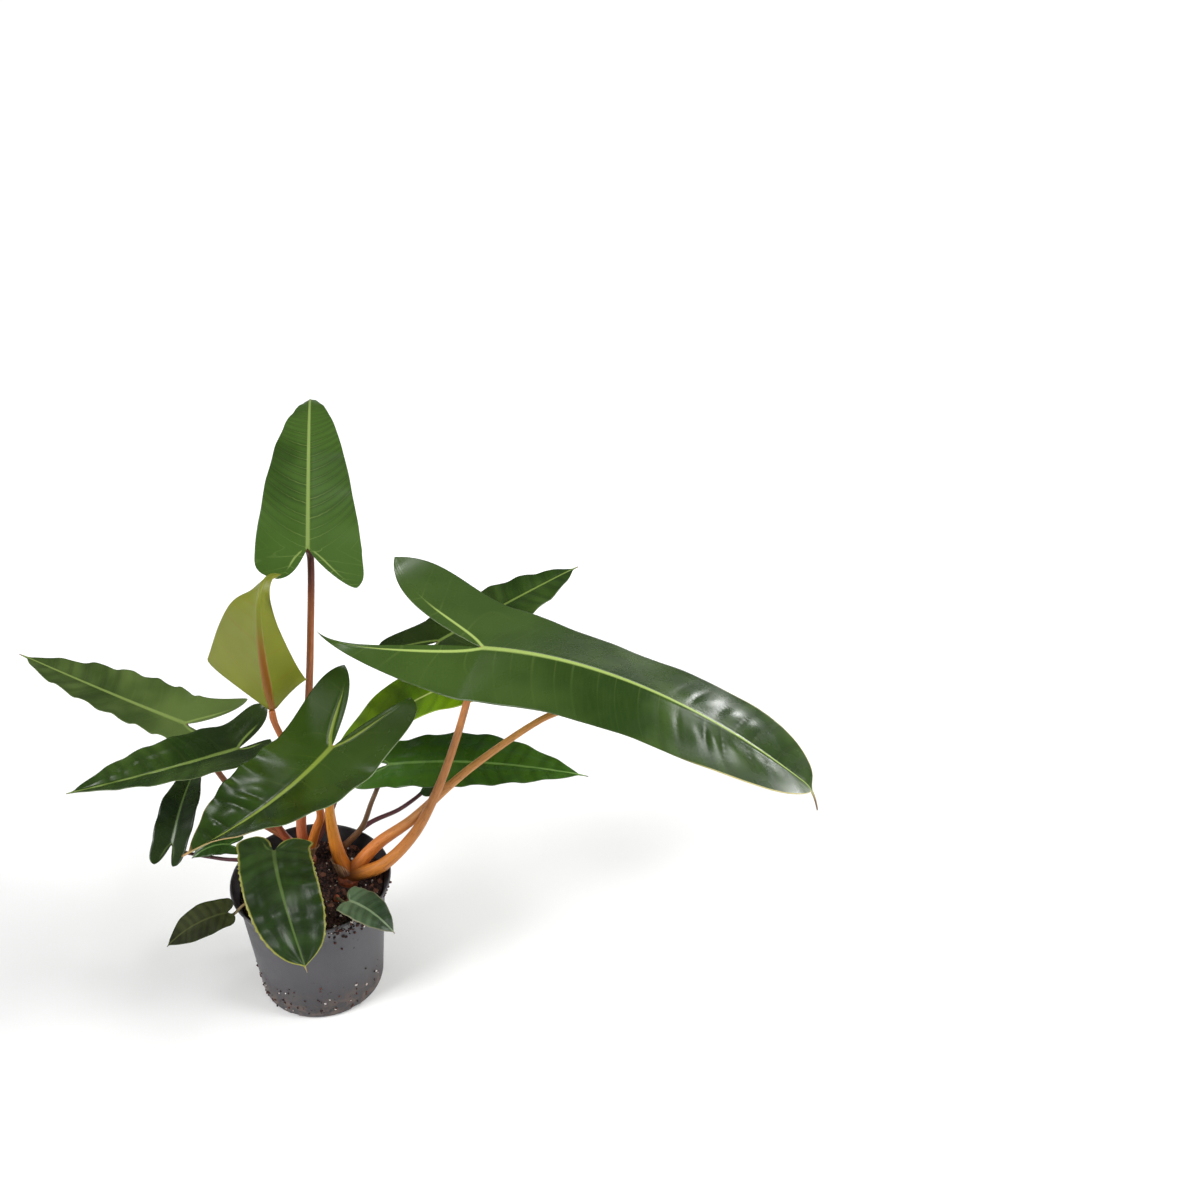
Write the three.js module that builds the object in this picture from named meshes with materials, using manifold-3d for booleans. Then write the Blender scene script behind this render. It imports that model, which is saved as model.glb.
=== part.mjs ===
// Potted philodendron with arrow-shaped leaves: a round nursery pot, the soil in it,
// six shoots with their leaf stalks, and fifteen leaf blades.
// Millimetres, +Z up, -Y is the front. The origin is the middle of the pot's underside.
import * as THREE from 'three';
import { mergeVertices } from 'three/addons/utils/BufferGeometryUtils.js';
import Module from 'manifold-3d';

const wasm = await Module();
wasm.setup();

// Pot
const POT_HEIGHT = 104;
const RIM_RADIUS = 60;
const COLLAR_RADIUS = 54.6;
const COLLAR_HEIGHT = 13;
const FOOT_RADIUS = 43;
const FOOT_ROUNDING = 3.5;
const POT_WALL = 1.6;
const POT_FLOOR = 2.4;
const POT_SEGMENTS = 40;
const DRAIN_SLOTS = 6;
const DRAIN_SLOT_SIZE = [9, 7, 5.6];
const DRAIN_FIRST_ANGLE = 250;

// Soil
const SOIL_LEVEL = 93;
const SOIL_CLEARANCE = 0.3;
const SOIL_HEAP = 4;
const SOIL_CRUMBS = 0.9;

// Shoots
const STEM_FOOT = 67;
const STEM_SIDES = 14;
const STALK_ROOT_DEPTH = 4;
const STALK_SIDES = 6;
const STALK_STEP = 18;
const STALK_FLARE = 2.5;
const SEAT_GAP = 0.3;

// Blades: thickness, mesh rows and columns, and the shapes of tip, neck and lobes as
// shares of the blade's length or width
const BLADE_EDGE = 0.8;
const BLADE_KEEL = 2.6;
const KEEL_TAPER = 0.6;
const BLADE_ROW = 10;
const COLUMNS = [0, 0.12, 0.55, 1];
const TIP_START = 0.955;
const TIP_LENGTH = 0.09;
const TIP_WIDTH = 0.06;
const NECK_LENGTH = 0.12;
const HOOK_START = 0.93;
const WAVE_SHIFT = 1.7;
const LOBE_ROW = 11;
const LOBE_CROWDING = 1.5;
const LOBE_LIFT = 1.25;
const LOBE_ROUNDNESS = 0.5;
const LOBE_BEND = [0.9, -0.05];
const SINUS_BEND = [-0.55, -0.1];

// Colours
const POT_GREY = 0x4b4d52;
const SOIL_BROWN = 0x2b1c16;
const STALK_ORANGE = 0xb8672c;
const STALK_BROWN = 0x5c3328;
const GREEN_DEEP = 0x2f5a26;
const GREEN_DARK = 0x1e3a1b;
const GREEN_BLUE = 0x54705a;
const GREEN_LIME = 0x86a51d;
const GREEN_OLIVE = 0x98a050;

// Where each shoot stands in the soil, how thick its stem is, and how high it ends
const SHOOTS = {
  shoot_main: { at: [27, 6], radius: 8.5, top: 103, color: STALK_ORANGE },
  shoot_rear: { at: [-8, 26], radius: 8, top: 103, color: STALK_ORANGE },
  shoot_far: { at: [17, 38], radius: 4.5, top: 101, color: STALK_BROWN },
  shoot_left: { at: [-24, 10], radius: 4, top: 101, color: STALK_BROWN },
  sprig_front: { at: [-6, -6], radius: 3.2, top: 100, color: STALK_BROWN },
  sprig_right: { at: [21, -15], radius: 2.6, top: 100, color: STALK_BROWN },
};

// Each blade: its midrib runs from base through middle to tip, face points off its upper
// side, and halfWidth, belly, taper, fold and lobes give the left half first, seen from
// base to tip. fold is each half's rise in degrees at base, middle and tip. A lobe is how
// far out, back and up its end lies, and how round it is. stalk lists the leaf stalk's
// points, and radii its thick and thin end. hook is how far the last part of the tip bends.
const LEAVES = [
  { name: 'blade_tall', shoot: 'shoot_rear', color: GREEN_DEEP,
    base: [14, 62, 356], middle: [13, 119, 423], tip: [5, 172, 413],
    face: [0, -0.35, 0.94], fold: [[4, 0, -34], [4, 0, -34]],
    halfWidth: [36.5, 38.5], belly: [0.12, 0.05], taper: [[1, 1.15], [1, 1.15]],
    lobes: [[21, 22, 0, 0.6], [35, 27, 0, 0.3]], wave: [1.2, 6, 0],
    stalk: [[-9, 28, 127], [-2, 37, 185], [4, 48, 232], [9, 56, 280]], radii: [4.4, 2.5] },
  { name: 'blade_new', shoot: 'shoot_rear', color: GREEN_OLIVE,
    base: [-13, 8, 255], middle: [-13, 14, 342], tip: [-4, 50, 341],
    face: [-0.15, 1, 0.2], faceTip: [0, -0.4, -1], fold: [[44, 50, 40], [42, 48, 40]],
    halfWidth: [58, 79], belly: [0, 0], taper: [[0.45, 1], [0.65, 1]],
    neck: 3.6, sweep: [-0.65, -0.08],
    wave: [0.8, 4, 0], inLine: true,
    stalk: [[-2, 24, 114], [4, 20, 133], [10, 15, 152], [6, 11, 182], [-5, 11, 214]],
    radii: [4.4, 2.3] },
  { name: 'blade_left_high', shoot: 'shoot_rear', color: GREEN_DEEP,
    base: [-97, 70, 195], middle: [-157, 96, 203], tip: [-241, 140, 210],
    face: [0.1, -0.1, 0.97], fold: [[12, 17, 14], [12, 17, 14]],
    halfWidth: [24, 26], belly: [0.05, 0.05], taper: [[3.6, 0.7], [2.6, 0.8]],
    lobes: [[16, 30, 6], [25, 40, 18, 0.35]], wave: [1.6, 6, 0],
    stalk: [[-24, 34, 113], [-46, 42, 124], [-68, 54, 150], [-84, 63, 173]],
    radii: [3.6, 2.2] },
  { name: 'blade_front', shoot: 'shoot_main', color: GREEN_DEEP,
    base: [33, -27, 250], middle: [-4, -84, 245], tip: [-53, -116, 232],
    face: [-0.1, -0.1, 0.95], fold: [[6, 18, 60], [6, 4, 4]],
    halfWidth: [45, 38], belly: [0.04, 0.12], taper: [[2.2, 0.9], [3.6, 0.7]],
    lobes: [[34, 54, 10, 0.45], [25, 63, 19, 0.6]], wave: [1, 5, 1],
    stalk: [[21, 8, 121], [19, 6, 157], [25, -8, 200]], radii: [6.4, 2.6] },
  { name: 'blade_left_low', shoot: 'shoot_rear', color: GREEN_DEEP,
    base: [-50, 36, 198], middle: [-108, 6, 199], tip: [-168, -3, 188],
    face: [0, -0.1, 0.97], fold: [[12, 17, 14], [12, 17, 14]],
    halfWidth: [23, 25], belly: [0.3, 0.05], taper: [[1.4, 1], [2.6, 0.8]],
    lobes: [[9, 22, 6], [19, 32, 12, 0.8]], wave: [0.8, 5, 2],
    stalk: [[-20, 29, 113], [-33, 31, 143], [-42, 33, 173]], radii: [3.4, 2.1] },
  { name: 'blade_hanging', shoot: 'shoot_left', color: GREEN_DARK,
    base: [-107, 22, 118], middle: [-102, 52, 137], tip: [-97, 84, 142],
    face: [-0.2, -0.5, 0.85], fold: [[18, 16, 14], [18, 16, 14]],
    halfWidth: [15, 16], belly: [0.1, 0.1], taper: [[2.8, 0.8], [2.8, 0.8]],
    lobes: [[9, 18, 3], [7, 18, 3]], wave: [0.8, 3, 0],
    stalk: [[-40, 12, 107], [-70, 13, 110]], radii: [2, 1.3] },
  { name: 'blade_over_rim', shoot: 'sprig_front', color: GREEN_DEEP,
    base: [-22, -10, 139], middle: [-10, -48, 130], tip: [8, -80, 86],
    face: [0.1, -0.3, 0.9], fold: [[-2, -2, 6], [-2, -2, 6]],
    halfWidth: [26, 26], belly: [0.05, 0.04], taper: [[8, 0.6], [6, 0.7]],
    lobes: [[17, 11, 3, 0.9], [12, 18, 4, 0.9]], wave: [1, 5, 0],
    stalk: [[-10, -8, 112]], radii: [2.2, 1.5] },
  { name: 'blade_small_left', shoot: 'sprig_front', color: GREEN_DARK,
    base: [-55, -41, 107], middle: [-79, -46, 99], tip: [-101, -49, 80],
    face: [0.3, -0.3, 0.9], fold: [[4, 4, 4], [4, 4, 4]],
    halfWidth: [11, 11], belly: [0.25, 0.25], taper: [[3, 0.8], [3, 0.8]],
    lobes: [[5, 6, 1], [5, 6, 1]], wave: [0.5, 3, 0],
    stalk: [[-20, -17, 104], [-43, -33, 107.5]], radii: [1.5, 1] },
  { name: 'blade_small_right', shoot: 'sprig_right', color: GREEN_BLUE,
    base: [35, -37, 115], middle: [53, -49, 115], tip: [70, -59, 104],
    face: [0, -0.2, 0.95], fold: [[8, 8, 8], [8, 8, 8]],
    halfWidth: [12, 12], belly: [0.15, 0.15], taper: [[3, 0.8], [3, 0.8]],
    lobes: [[7, 6, 1, 0.7], [6, 3, 1, 0.7]], wave: [0.6, 4, 0],
    stalk: [[25, -25, 105]], radii: [1.5, 1] },
  { name: 'blade_long', shoot: 'shoot_main', color: GREEN_DEEP,
    base: [137, 14, 305], middle: [253.5, -29, 300], tip: [372, -54, 226],
    face: [0, -0.11, 1], faceTip: [0, 0.07, 1], fold: [[-8, -17, 30], [-12, -17, 14]],
    halfWidth: [55, 46], belly: [0.01, -0.12], taper: [[3.2, 0.45], [8, 0.65]],
    lobes: [[44, 82, 50, 0.9], [51, 91, 60, -0.05]], wave: [0.5, 4, 0], hook: [-5, 0, -9],
    stalk: [[54, 0, 115], [80, 4, 143], [99, 9, 181], [115, 12, 227]], radii: [6, 2.7] },
  { name: 'blade_lime', shoot: 'shoot_main', color: GREEN_LIME,
    base: [207, 66, 230], middle: [122, 60, 245], tip: [8, 44, 175],
    face: [0, -0.1, 1], fold: [[4, 4, 4], [4, 4, 4]],
    halfWidth: [28, 32], belly: [0.1, 0.1], taper: [[3, 0.8], [7, 0.7]],
    lobes: [[20, 38, 8], [20, 38, 8]], wave: [1.2, 5, 0],
    stalk: [[50, 12, 125], [78, 13, 149], [106, 19, 176], [126, 29, 189], [174, 50, 214]],
    radii: [6, 2.5] },
  { name: 'blade_right_dark', shoot: 'shoot_far', color: GREEN_DARK,
    base: [57, 58, 165], middle: [130, 56, 168], tip: [209, 50, 160],
    face: [0, -0.25, 0.97], fold: [[4, 4, 4], [4, 4, 4]],
    halfWidth: [19, 22], belly: [0.45, 0.15], taper: [[3.6, 0.8], [2.6, 0.8]],
    lobes: [[9, 16, 0], [15, 28, 0]], wave: [1.2, 6, 1],
    stalk: [[34, 42, 115], [43, 47, 137]], radii: [3, 1.8] },
  { name: 'blade_behind', shoot: 'shoot_rear', color: GREEN_DEEP,
    base: [100, 72, 270], middle: [152, 104, 284], tip: [201, 144, 289],
    face: [0, -0.2, 0.97], fold: [[8, 8, 8], [8, 8, 8]],
    halfWidth: [21, 26], belly: [0.05, 0.05], taper: [[2.6, 0.8], [2.6, 0.8]],
    lobes: [[18, 40, 4], [20, 40, 4]], wave: [1.2, 5, 0],
    stalk: [[6, 44, 119], [24, 76, 155], [43, 97, 183], [78, 94, 233]], radii: [3.8, 2.2] },
  { name: 'blade_little', shoot: 'shoot_left', color: GREEN_DARK,
    base: [-63, 19, 119], middle: [-77, 16, 119], tip: [-91, 11, 112],
    face: [0, -0.3, 0.95], fold: [[10, 10, 10], [10, 10, 10]],
    halfWidth: [9, 9], belly: [0.1, 0.1], taper: [[2.6, 0.8], [2.6, 0.8]],
    lobes: [[6, 10, 1], [6, 10, 1]], wave: [0.5, 3, 0],
    stalk: [[-40, 18, 108]], radii: [1.6, 1] },
  { name: 'blade_hidden', shoot: 'shoot_far', color: GREEN_DARK,
    base: [82, 76, 132], middle: [108, 88, 137], tip: [140, 98, 129],
    face: [0, -0.3, 0.95], fold: [[10, 10, 10], [10, 10, 10]],
    halfWidth: [14, 14], belly: [0.1, 0.1], taper: [[2.6, 0.8], [2.6, 0.8]],
    lobes: [[8, 11, 4], [8, 9, 4]], wave: [0.6, 4, 0],
    stalk: [[38, 50, 112], [62, 62, 117]], radii: [2.6, 1.6] },
];

const vector = (p) => new THREE.Vector3(p[0], p[1], p[2]);
const radians = THREE.MathUtils.degToRad;

// Curve value at t that passes through three equally spaced values
function through(a, b, c, t) {
  return 2 * (a + c - 2 * b) * t * t + (4 * b - 3 * a - c) * t + a;
}

// Point of the midrib, with the tip's hook
function midribPoint(leaf, t) {
  const [a, b, c] = [leaf.base, leaf.middle, leaf.tip];
  const point = new THREE.Vector3(...a.map((value, k) => through(value, b[k], c[k], t)));
  const bent = Math.max(0, (t - HOOK_START) / (1 - HOOK_START)) ** 2;
  return leaf.hook ? point.addScaledVector(vector(leaf.hook), bent) : point;
}

// Midrib point and the three directions there: along the midrib, off the face, to the right
function frameAt(leaf, t) {
  const step = 0.001;
  const point = midribPoint(leaf, t);
  const along = midribPoint(leaf, t + step).sub(midribPoint(leaf, t - step)).normalize();
  const up = vector(leaf.face).normalize();
  up.lerp(vector(leaf.faceTip ?? leaf.face).normalize(), t);
  up.addScaledVector(along, -up.dot(along)).normalize();
  const right = along.clone().cross(up);
  return { point, along, up, right };
}

function bladeLength(leaf) {
  let length = 0;
  for (let i = 0; i < 20; i += 1) {
    length += midribPoint(leaf, i / 20).distanceTo(midribPoint(leaf, (i + 1) / 20));
  }
  return length;
}

// Half width of the blade, which narrows to a drawn-out tip
function halfWidth(leaf, side, t) {
  const [p, q] = leaf.taper[side];
  const u = Math.min(t / TIP_START, 1);
  let width = (1 + leaf.belly[side] * Math.sin(Math.PI * u)) * (1 - u ** p) ** q;
  if (leaf.neck) {
    const start = leaf.neck / leaf.halfWidth[side];
    width *= start + (1 - start) * Math.sin((Math.min(u / NECK_LENGTH, 1) * Math.PI) / 2);
  }
  return leaf.halfWidth[side] * Math.max(width, Math.min((1 - t) / TIP_LENGTH, 1) * TIP_WIDTH);
}

function foldAt(leaf, side, t) {
  return radians(through(...leaf.fold[side], t));
}

// Upper point of the blade, a share c of the way from the midrib to the margin,
// and the direction off the upper face there
function bladePoint(leaf, side, t, c) {
  const { point, along, up, right } = frameAt(leaf, t);
  const sign = side === 0 ? -1 : 1;
  const [height, count, phase] = leaf.wave;
  const width = halfWidth(leaf, side, t);
  const fold = foldAt(leaf, side, t);
  const fade = Math.min((1.5 * width) / leaf.halfWidth[side], 1);
  const wave = height * c * c * fade * Math.sin(2 * Math.PI * count * t + phase + side * WAVE_SHIFT);
  const x = width * c;
  const top = point.clone()
    .addScaledVector(right, sign * x * Math.cos(fold))
    .addScaledVector(up, x * Math.sin(fold) + wave)
    .addScaledVector(along, x * (leaf.sweep?.[side] ?? 0) * Math.min(t / NECK_LENGTH, 1));
  const off = up.clone().multiplyScalar(Math.cos(fold));
  return { top, off: off.addScaledVector(right, -sign * Math.sin(fold)) };
}

// Outer and inner edge of a basal lobe in the plane of the blade, as two curves to its end
function lobeEdges(leaf, side) {
  const width = halfWidth(leaf, side, 0);
  const [out, back, , roundness = LOBE_ROUNDNESS] = leaf.lobes[side];
  const end = new THREE.Vector2(out, -back);
  const axis = end.clone().sub(new THREE.Vector2(width / 2, 0)).normalize();
  const outward = new THREE.Vector2(-axis.y, axis.x);
  if (outward.x < 0) outward.negate();
  const bulge = width * roundness;
  const bendAt = ([across, along]) => end.clone()
    .addScaledVector(outward, across * bulge)
    .addScaledVector(axis, along * back);
  const at = (x, y) => new THREE.Vector2(x, y);
  return {
    outer: new THREE.CubicBezierCurve(at(width, 0), at(width, -0.45 * back), bendAt(LOBE_BEND), end),
    inner: new THREE.CubicBezierCurve(at(0, 0), at(0.12 * width, -0.35 * back), bendAt(SINUS_BEND), end),
  };
}

function lobePoint(leaf, side, edges, s, c) {
  const { point, along, up, right } = frameAt(leaf, 0);
  const sign = side === 0 ? -1 : 1;
  const place = edges.inner.getPoint(s).lerp(edges.outer.getPoint(s), c);
  const fold = foldAt(leaf, side, 0);
  const lift = leaf.lobes[side][2];
  const [height, , phase] = leaf.wave;
  const wave = height * c * c * (1 - s) * Math.sin(phase + side * WAVE_SHIFT);
  const top = point.clone()
    .addScaledVector(right, sign * place.x * Math.cos(fold))
    .addScaledVector(up, place.x * Math.sin(fold) + lift * s ** LOBE_LIFT + wave)
    .addScaledVector(along, place.y);
  const off = up.clone().multiplyScalar(Math.cos(fold));
  return { top, off: off.addScaledVector(right, -sign * Math.sin(fold)) };
}

// A closed sheet: upper vertices, the same number below them, and a wall round the edge
class Sheet {
  constructor() {
    this.upper = [];
    this.lower = [];
    this.faces = [];
  }

  add({ top, off }, thickness) {
    this.upper.push(top);
    this.lower.push(top.clone().addScaledVector(off, -thickness));
    return this.upper.length - 1;
  }

  quad(a, b, c, d) {
    this.faces.push([a, b, c], [a, c, d]);
  }

  geometry() {
    const count = this.upper.length;
    const once = new Map();
    const index = [];
    for (const face of this.faces) {
      index.push(...face, face[2] + count, face[1] + count, face[0] + count);
      face.forEach((a, k) => {
        const b = face[(k + 1) % 3];
        if (!once.delete(`${b},${a}`)) once.set(`${a},${b}`, [a, b]);
      });
    }
    for (const [a, b] of once.values()) index.push(b, a, a + count, b, a + count, b + count);
    const geometry = new THREE.BufferGeometry();
    geometry.setFromPoints([...this.upper, ...this.lower]);
    geometry.setIndex(index);
    geometry.computeVertexNormals();
    return geometry;
  }
}

function thickness(t, c) {
  const keel = BLADE_KEEL * (1 - KEEL_TAPER * t);
  return BLADE_EDGE + Math.max(0, keel - BLADE_EDGE) * Math.max(0, 1 - c / COLUMNS[1]);
}

function bladeGeometry(leaf) {
  const sheet = new Sheet();
  const rows = Math.max(6, Math.round(bladeLength(leaf) / BLADE_ROW));
  const last = COLUMNS.length - 1;
  const grid = [];
  for (let i = 0; i < rows; i += 1) {
    const t = i / rows;
    const row = [];
    for (let j = -last; j <= last; j += 1) {
      const c = COLUMNS[Math.abs(j)];
      row.push(sheet.add(bladePoint(leaf, j < 0 ? 0 : 1, t, c), thickness(t, c)));
    }
    grid.push(row);
  }
  for (let i = 0; i + 1 < rows; i += 1) {
    for (let j = 0; j < 2 * last; j += 1) {
      sheet.quad(grid[i][j], grid[i][j + 1], grid[i + 1][j + 1], grid[i + 1][j]);
    }
  }
  const tip = sheet.add(bladePoint(leaf, 1, 1, 0), BLADE_EDGE);
  for (let j = 0; j < 2 * last; j += 1) {
    sheet.faces.push([grid[rows - 1][j], grid[rows - 1][j + 1], tip]);
  }
  if (leaf.lobes) [0, 1].forEach((side) => addLobe(sheet, leaf, side, grid[0]));
  return sheet.geometry();
}

function addLobe(sheet, leaf, side, firstRow) {
  const last = COLUMNS.length - 1;
  const sign = side === 0 ? -1 : 1;
  const edges = lobeEdges(leaf, side);
  const rows = Math.max(3, Math.round(leaf.lobes[side][1] / LOBE_ROW));
  let previous = COLUMNS.map((c, k) => firstRow[last + sign * k]);
  const flip = (a, b, c, d) => (side === 0 ? sheet.quad(a, b, c, d) : sheet.quad(a, d, c, b));
  for (let i = 1; i < rows; i += 1) {
    const s = 1 - (1 - i / rows) ** LOBE_CROWDING;
    const row = COLUMNS.map((c) => sheet.add(lobePoint(leaf, side, edges, s, c), BLADE_EDGE));
    for (let k = 0; k < last; k += 1) flip(previous[k], previous[k + 1], row[k + 1], row[k]);
    previous = row;
  }
  const end = sheet.add(lobePoint(leaf, side, edges, 1, 0.5), BLADE_EDGE);
  for (let k = 0; k < last; k += 1) {
    const face = [previous[k], previous[k + 1], end];
    sheet.faces.push(side === 0 ? face : face.reverse());
  }
}

// A leaf stalk: a tapering tube from inside the stem to its blade. It bends just below
// the blade to meet the underside steeply, or runs into the midrib in line.
function stalkGeometry(leaf, shoot) {
  const { point, along, up } = frameAt(leaf, 0);
  const seat = leaf.inLine
    ? point.clone().addScaledVector(up, -BLADE_KEEL / 2).addScaledVector(along, -SEAT_GAP)
    : point.clone().addScaledVector(up, -BLADE_KEEL - SEAT_GAP);
  const root = vector([...shoot.at, shoot.top - STALK_ROOT_DEPTH]);
  const bend = seat.clone();
  const reach = 2 + 3 * leaf.radii[1];
  if (leaf.inLine) bend.addScaledVector(along, -reach);
  else bend.addScaledVector(up, -0.75 * reach).addScaledVector(along, -0.65 * reach);
  const path = new THREE.CatmullRomCurve3([root, ...leaf.stalk.map(vector), bend, seat]);
  const steps = Math.max(3, Math.round(path.getLength() / STALK_STEP));
  const frames = path.computeFrenetFrames(steps);
  const seatNormal = leaf.inLine ? along : up;
  const points = [path.getPointAt(0)];
  for (let i = 0; i <= steps; i += 1) {
    const t = i / steps;
    const radius = leaf.radii[1] + (leaf.radii[0] - leaf.radii[1]) * (1 - t) ** STALK_FLARE;
    const centre = path.getPointAt(t);
    for (let k = 0; k < STALK_SIDES; k += 1) {
      const angle = (2 * Math.PI * k) / STALK_SIDES;
      const ring = centre.clone()
        .addScaledVector(frames.normals[i], radius * Math.cos(angle))
        .addScaledVector(frames.binormals[i], radius * Math.sin(angle));
      if (i === steps) {
        const tangent = frames.tangents[i];
        const rise = ring.clone().sub(seat).dot(seatNormal) / tangent.dot(seatNormal);
        ring.addScaledVector(tangent, -rise);
      }
      points.push(ring);
    }
  }
  points.push(seat);
  return tube(points, steps, STALK_SIDES);
}

// Closed tube from a first pole, rings of points and a last pole
function tube(points, steps, sides) {
  const index = [];
  const at = (i, k) => 1 + i * sides + (k % sides);
  for (let k = 0; k < sides; k += 1) {
    index.push(0, at(0, k + 1), at(0, k));
    for (let i = 0; i < steps; i += 1) {
      index.push(at(i, k), at(i, k + 1), at(i + 1, k + 1), at(i, k), at(i + 1, k + 1), at(i + 1, k));
    }
    index.push(at(steps, k), at(steps, k + 1), points.length - 1);
  }
  const geometry = new THREE.BufferGeometry().setFromPoints(points);
  geometry.setIndex(index);
  return geometry;
}

// Solid of revolution about +Z from [radius, height] pairs that start and end on the axis
function lathe(profile, segments) {
  const points = profile.map(([radius, height]) => new THREE.Vector2(radius, height));
  return new THREE.LatheGeometry(points, segments).rotateX(Math.PI / 2);
}

function stemGeometry({ at, radius, top }, clearance) {
  const r = radius + clearance;
  const foot = STEM_FOOT - clearance;
  const profile = [[0, foot], [r, foot], [r, top - 5 + clearance], [0.7 * r, top - 1.5 + clearance]];
  return lathe([...profile, [0, top + clearance]], STEM_SIDES).translate(at[0], at[1], 0);
}

function solid(geometry) {
  const bare = geometry.clone();
  bare.deleteAttribute('normal');
  bare.deleteAttribute('uv');
  const merged = mergeVertices(bare, 1e-4);
  const vertProperties = new Float32Array(merged.attributes.position.array);
  const triVerts = new Uint32Array(merged.index.array);
  return new wasm.Manifold(new wasm.Mesh({ numProp: 3, vertProperties, triVerts }));
}

function geometryOf(manifold) {
  const { vertProperties, triVerts } = manifold.getMesh();
  const geometry = new THREE.BufferGeometry();
  geometry.setAttribute('position', new THREE.BufferAttribute(vertProperties, 3));
  geometry.setIndex(new THREE.BufferAttribute(triVerts, 1));
  geometry.computeVertexNormals();
  return geometry;
}

function shootGeometry(name) {
  const shoot = SHOOTS[name];
  const stalks = LEAVES.filter((leaf) => leaf.shoot === name);
  const joined = stalks.reduce(
    (body, leaf) => body.add(solid(stalkGeometry(leaf, shoot))),
    solid(stemGeometry(shoot, 0)),
  );
  return geometryOf(joined);
}

// Radius of the pot's outside at a height
const potTaper = (z) => FOOT_RADIUS + FOOT_ROUNDING
  + ((COLLAR_RADIUS - FOOT_RADIUS - FOOT_ROUNDING) * z) / (POT_HEIGHT - COLLAR_HEIGHT);

function potGeometry() {
  const collar = POT_HEIGHT - COLLAR_HEIGHT;
  const outside = [
    [0, 0], [FOOT_RADIUS, 0],
    [FOOT_RADIUS + 0.7 * FOOT_ROUNDING, 0.3 * FOOT_ROUNDING],
    [potTaper(FOOT_ROUNDING), FOOT_ROUNDING],
    [COLLAR_RADIUS, collar],
    [COLLAR_RADIUS + 0.35 * (RIM_RADIUS - COLLAR_RADIUS), collar + 0.3 * COLLAR_HEIGHT],
    [RIM_RADIUS - 0.4, POT_HEIGHT - 2.2],
    [RIM_RADIUS, POT_HEIGHT - 1.2],
    [RIM_RADIUS - 0.6, POT_HEIGHT],
  ];
  const inside = [
    [RIM_RADIUS - POT_WALL, POT_HEIGHT],
    [RIM_RADIUS - POT_WALL - 0.4, POT_HEIGHT - 1.2],
    [COLLAR_RADIUS - POT_WALL, collar],
    [potTaper(POT_FLOOR + 3) - POT_WALL, POT_FLOOR + 3],
    [potTaper(0) - POT_WALL - 3, POT_FLOOR],
    [0, POT_FLOOR],
  ];
  let pot = solid(lathe([...outside, ...inside], POT_SEGMENTS));
  for (let k = 0; k < DRAIN_SLOTS; k += 1) {
    const slot = new THREE.BoxGeometry(...DRAIN_SLOT_SIZE);
    slot.translate(FOOT_RADIUS + 1, 0, 0);
    slot.rotateZ(radians(DRAIN_FIRST_ANGLE + (360 / DRAIN_SLOTS) * k));
    pot = pot.subtract(solid(slot));
  }
  return geometryOf(pot);
}

// Height of the soil: heaped towards the front right, with rounded lumps
function soilHeight(x, y) {
  const heap = SOIL_HEAP * (0.5 + (x - y) / (2.8 * RIM_RADIUS));
  const lumps = Math.sin(0.31 * x + 1) * Math.cos(0.27 * y) + 0.6 * Math.sin(0.53 * (x + y));
  return SOIL_LEVEL - 2 + heap + SOIL_CRUMBS * lumps;
}

function soilGeometry() {
  const collar = POT_HEIGHT - COLLAR_HEIGHT;
  const gap = POT_WALL + SOIL_CLEARANCE;
  const edge = potTaper(collar - 4) - gap;
  const top = 2 * POT_HEIGHT;
  const foot = POT_FLOOR + SOIL_CLEARANCE;
  const rings = [edge, 46, 38, 30, 22, 14, 7, 0].map((radius) => [radius, top]);
  const profile = [[0, foot], [potTaper(0) - gap - 3, foot], [potTaper(POT_FLOOR + 3) - gap, POT_FLOOR + 3]];
  const geometry = lathe([...profile, [edge, collar - 4], ...rings], POT_SEGMENTS);
  const position = geometry.attributes.position;
  for (let i = 0; i < position.count; i += 1) {
    if (position.getZ(i) > top - 1) position.setZ(i, soilHeight(position.getX(i), position.getY(i)));
  }
  const holes = Object.values(SHOOTS).map((shoot) => solid(stemGeometry(shoot, SOIL_CLEARANCE)));
  return geometryOf(holes.reduce((body, hole) => body.subtract(hole), solid(geometry)));
}

function mesh(name, geometry, color, roughness) {
  const material = new THREE.MeshStandardMaterial({ color, roughness, metalness: 0 });
  const piece = new THREE.Mesh(geometry, material);
  piece.name = name;
  return piece;
}

const plant = new THREE.Group();
plant.add(mesh('pot', potGeometry(), POT_GREY, 0.6));
plant.add(mesh('soil', soilGeometry(), SOIL_BROWN, 0.95));
for (const [name, shoot] of Object.entries(SHOOTS)) {
  plant.add(mesh(name, shootGeometry(name), shoot.color, 0.5));
}
for (const leaf of LEAVES) {
  plant.add(mesh(leaf.name, bladeGeometry(leaf), leaf.color, 0.4));
}

export default plant;
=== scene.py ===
"""Looks of the potted philodendron with arrow-shaped leaves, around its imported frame.

The blades, stalks, soil and pot are modelled again at full detail on the same forms as the
CAD nodes, so each piece lies where its node is. Tables are in millimetres, meshes in metres.
"""

import math

import bmesh
import bpy
import numpy as np
from mathutils import Matrix, Vector, noise


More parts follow.
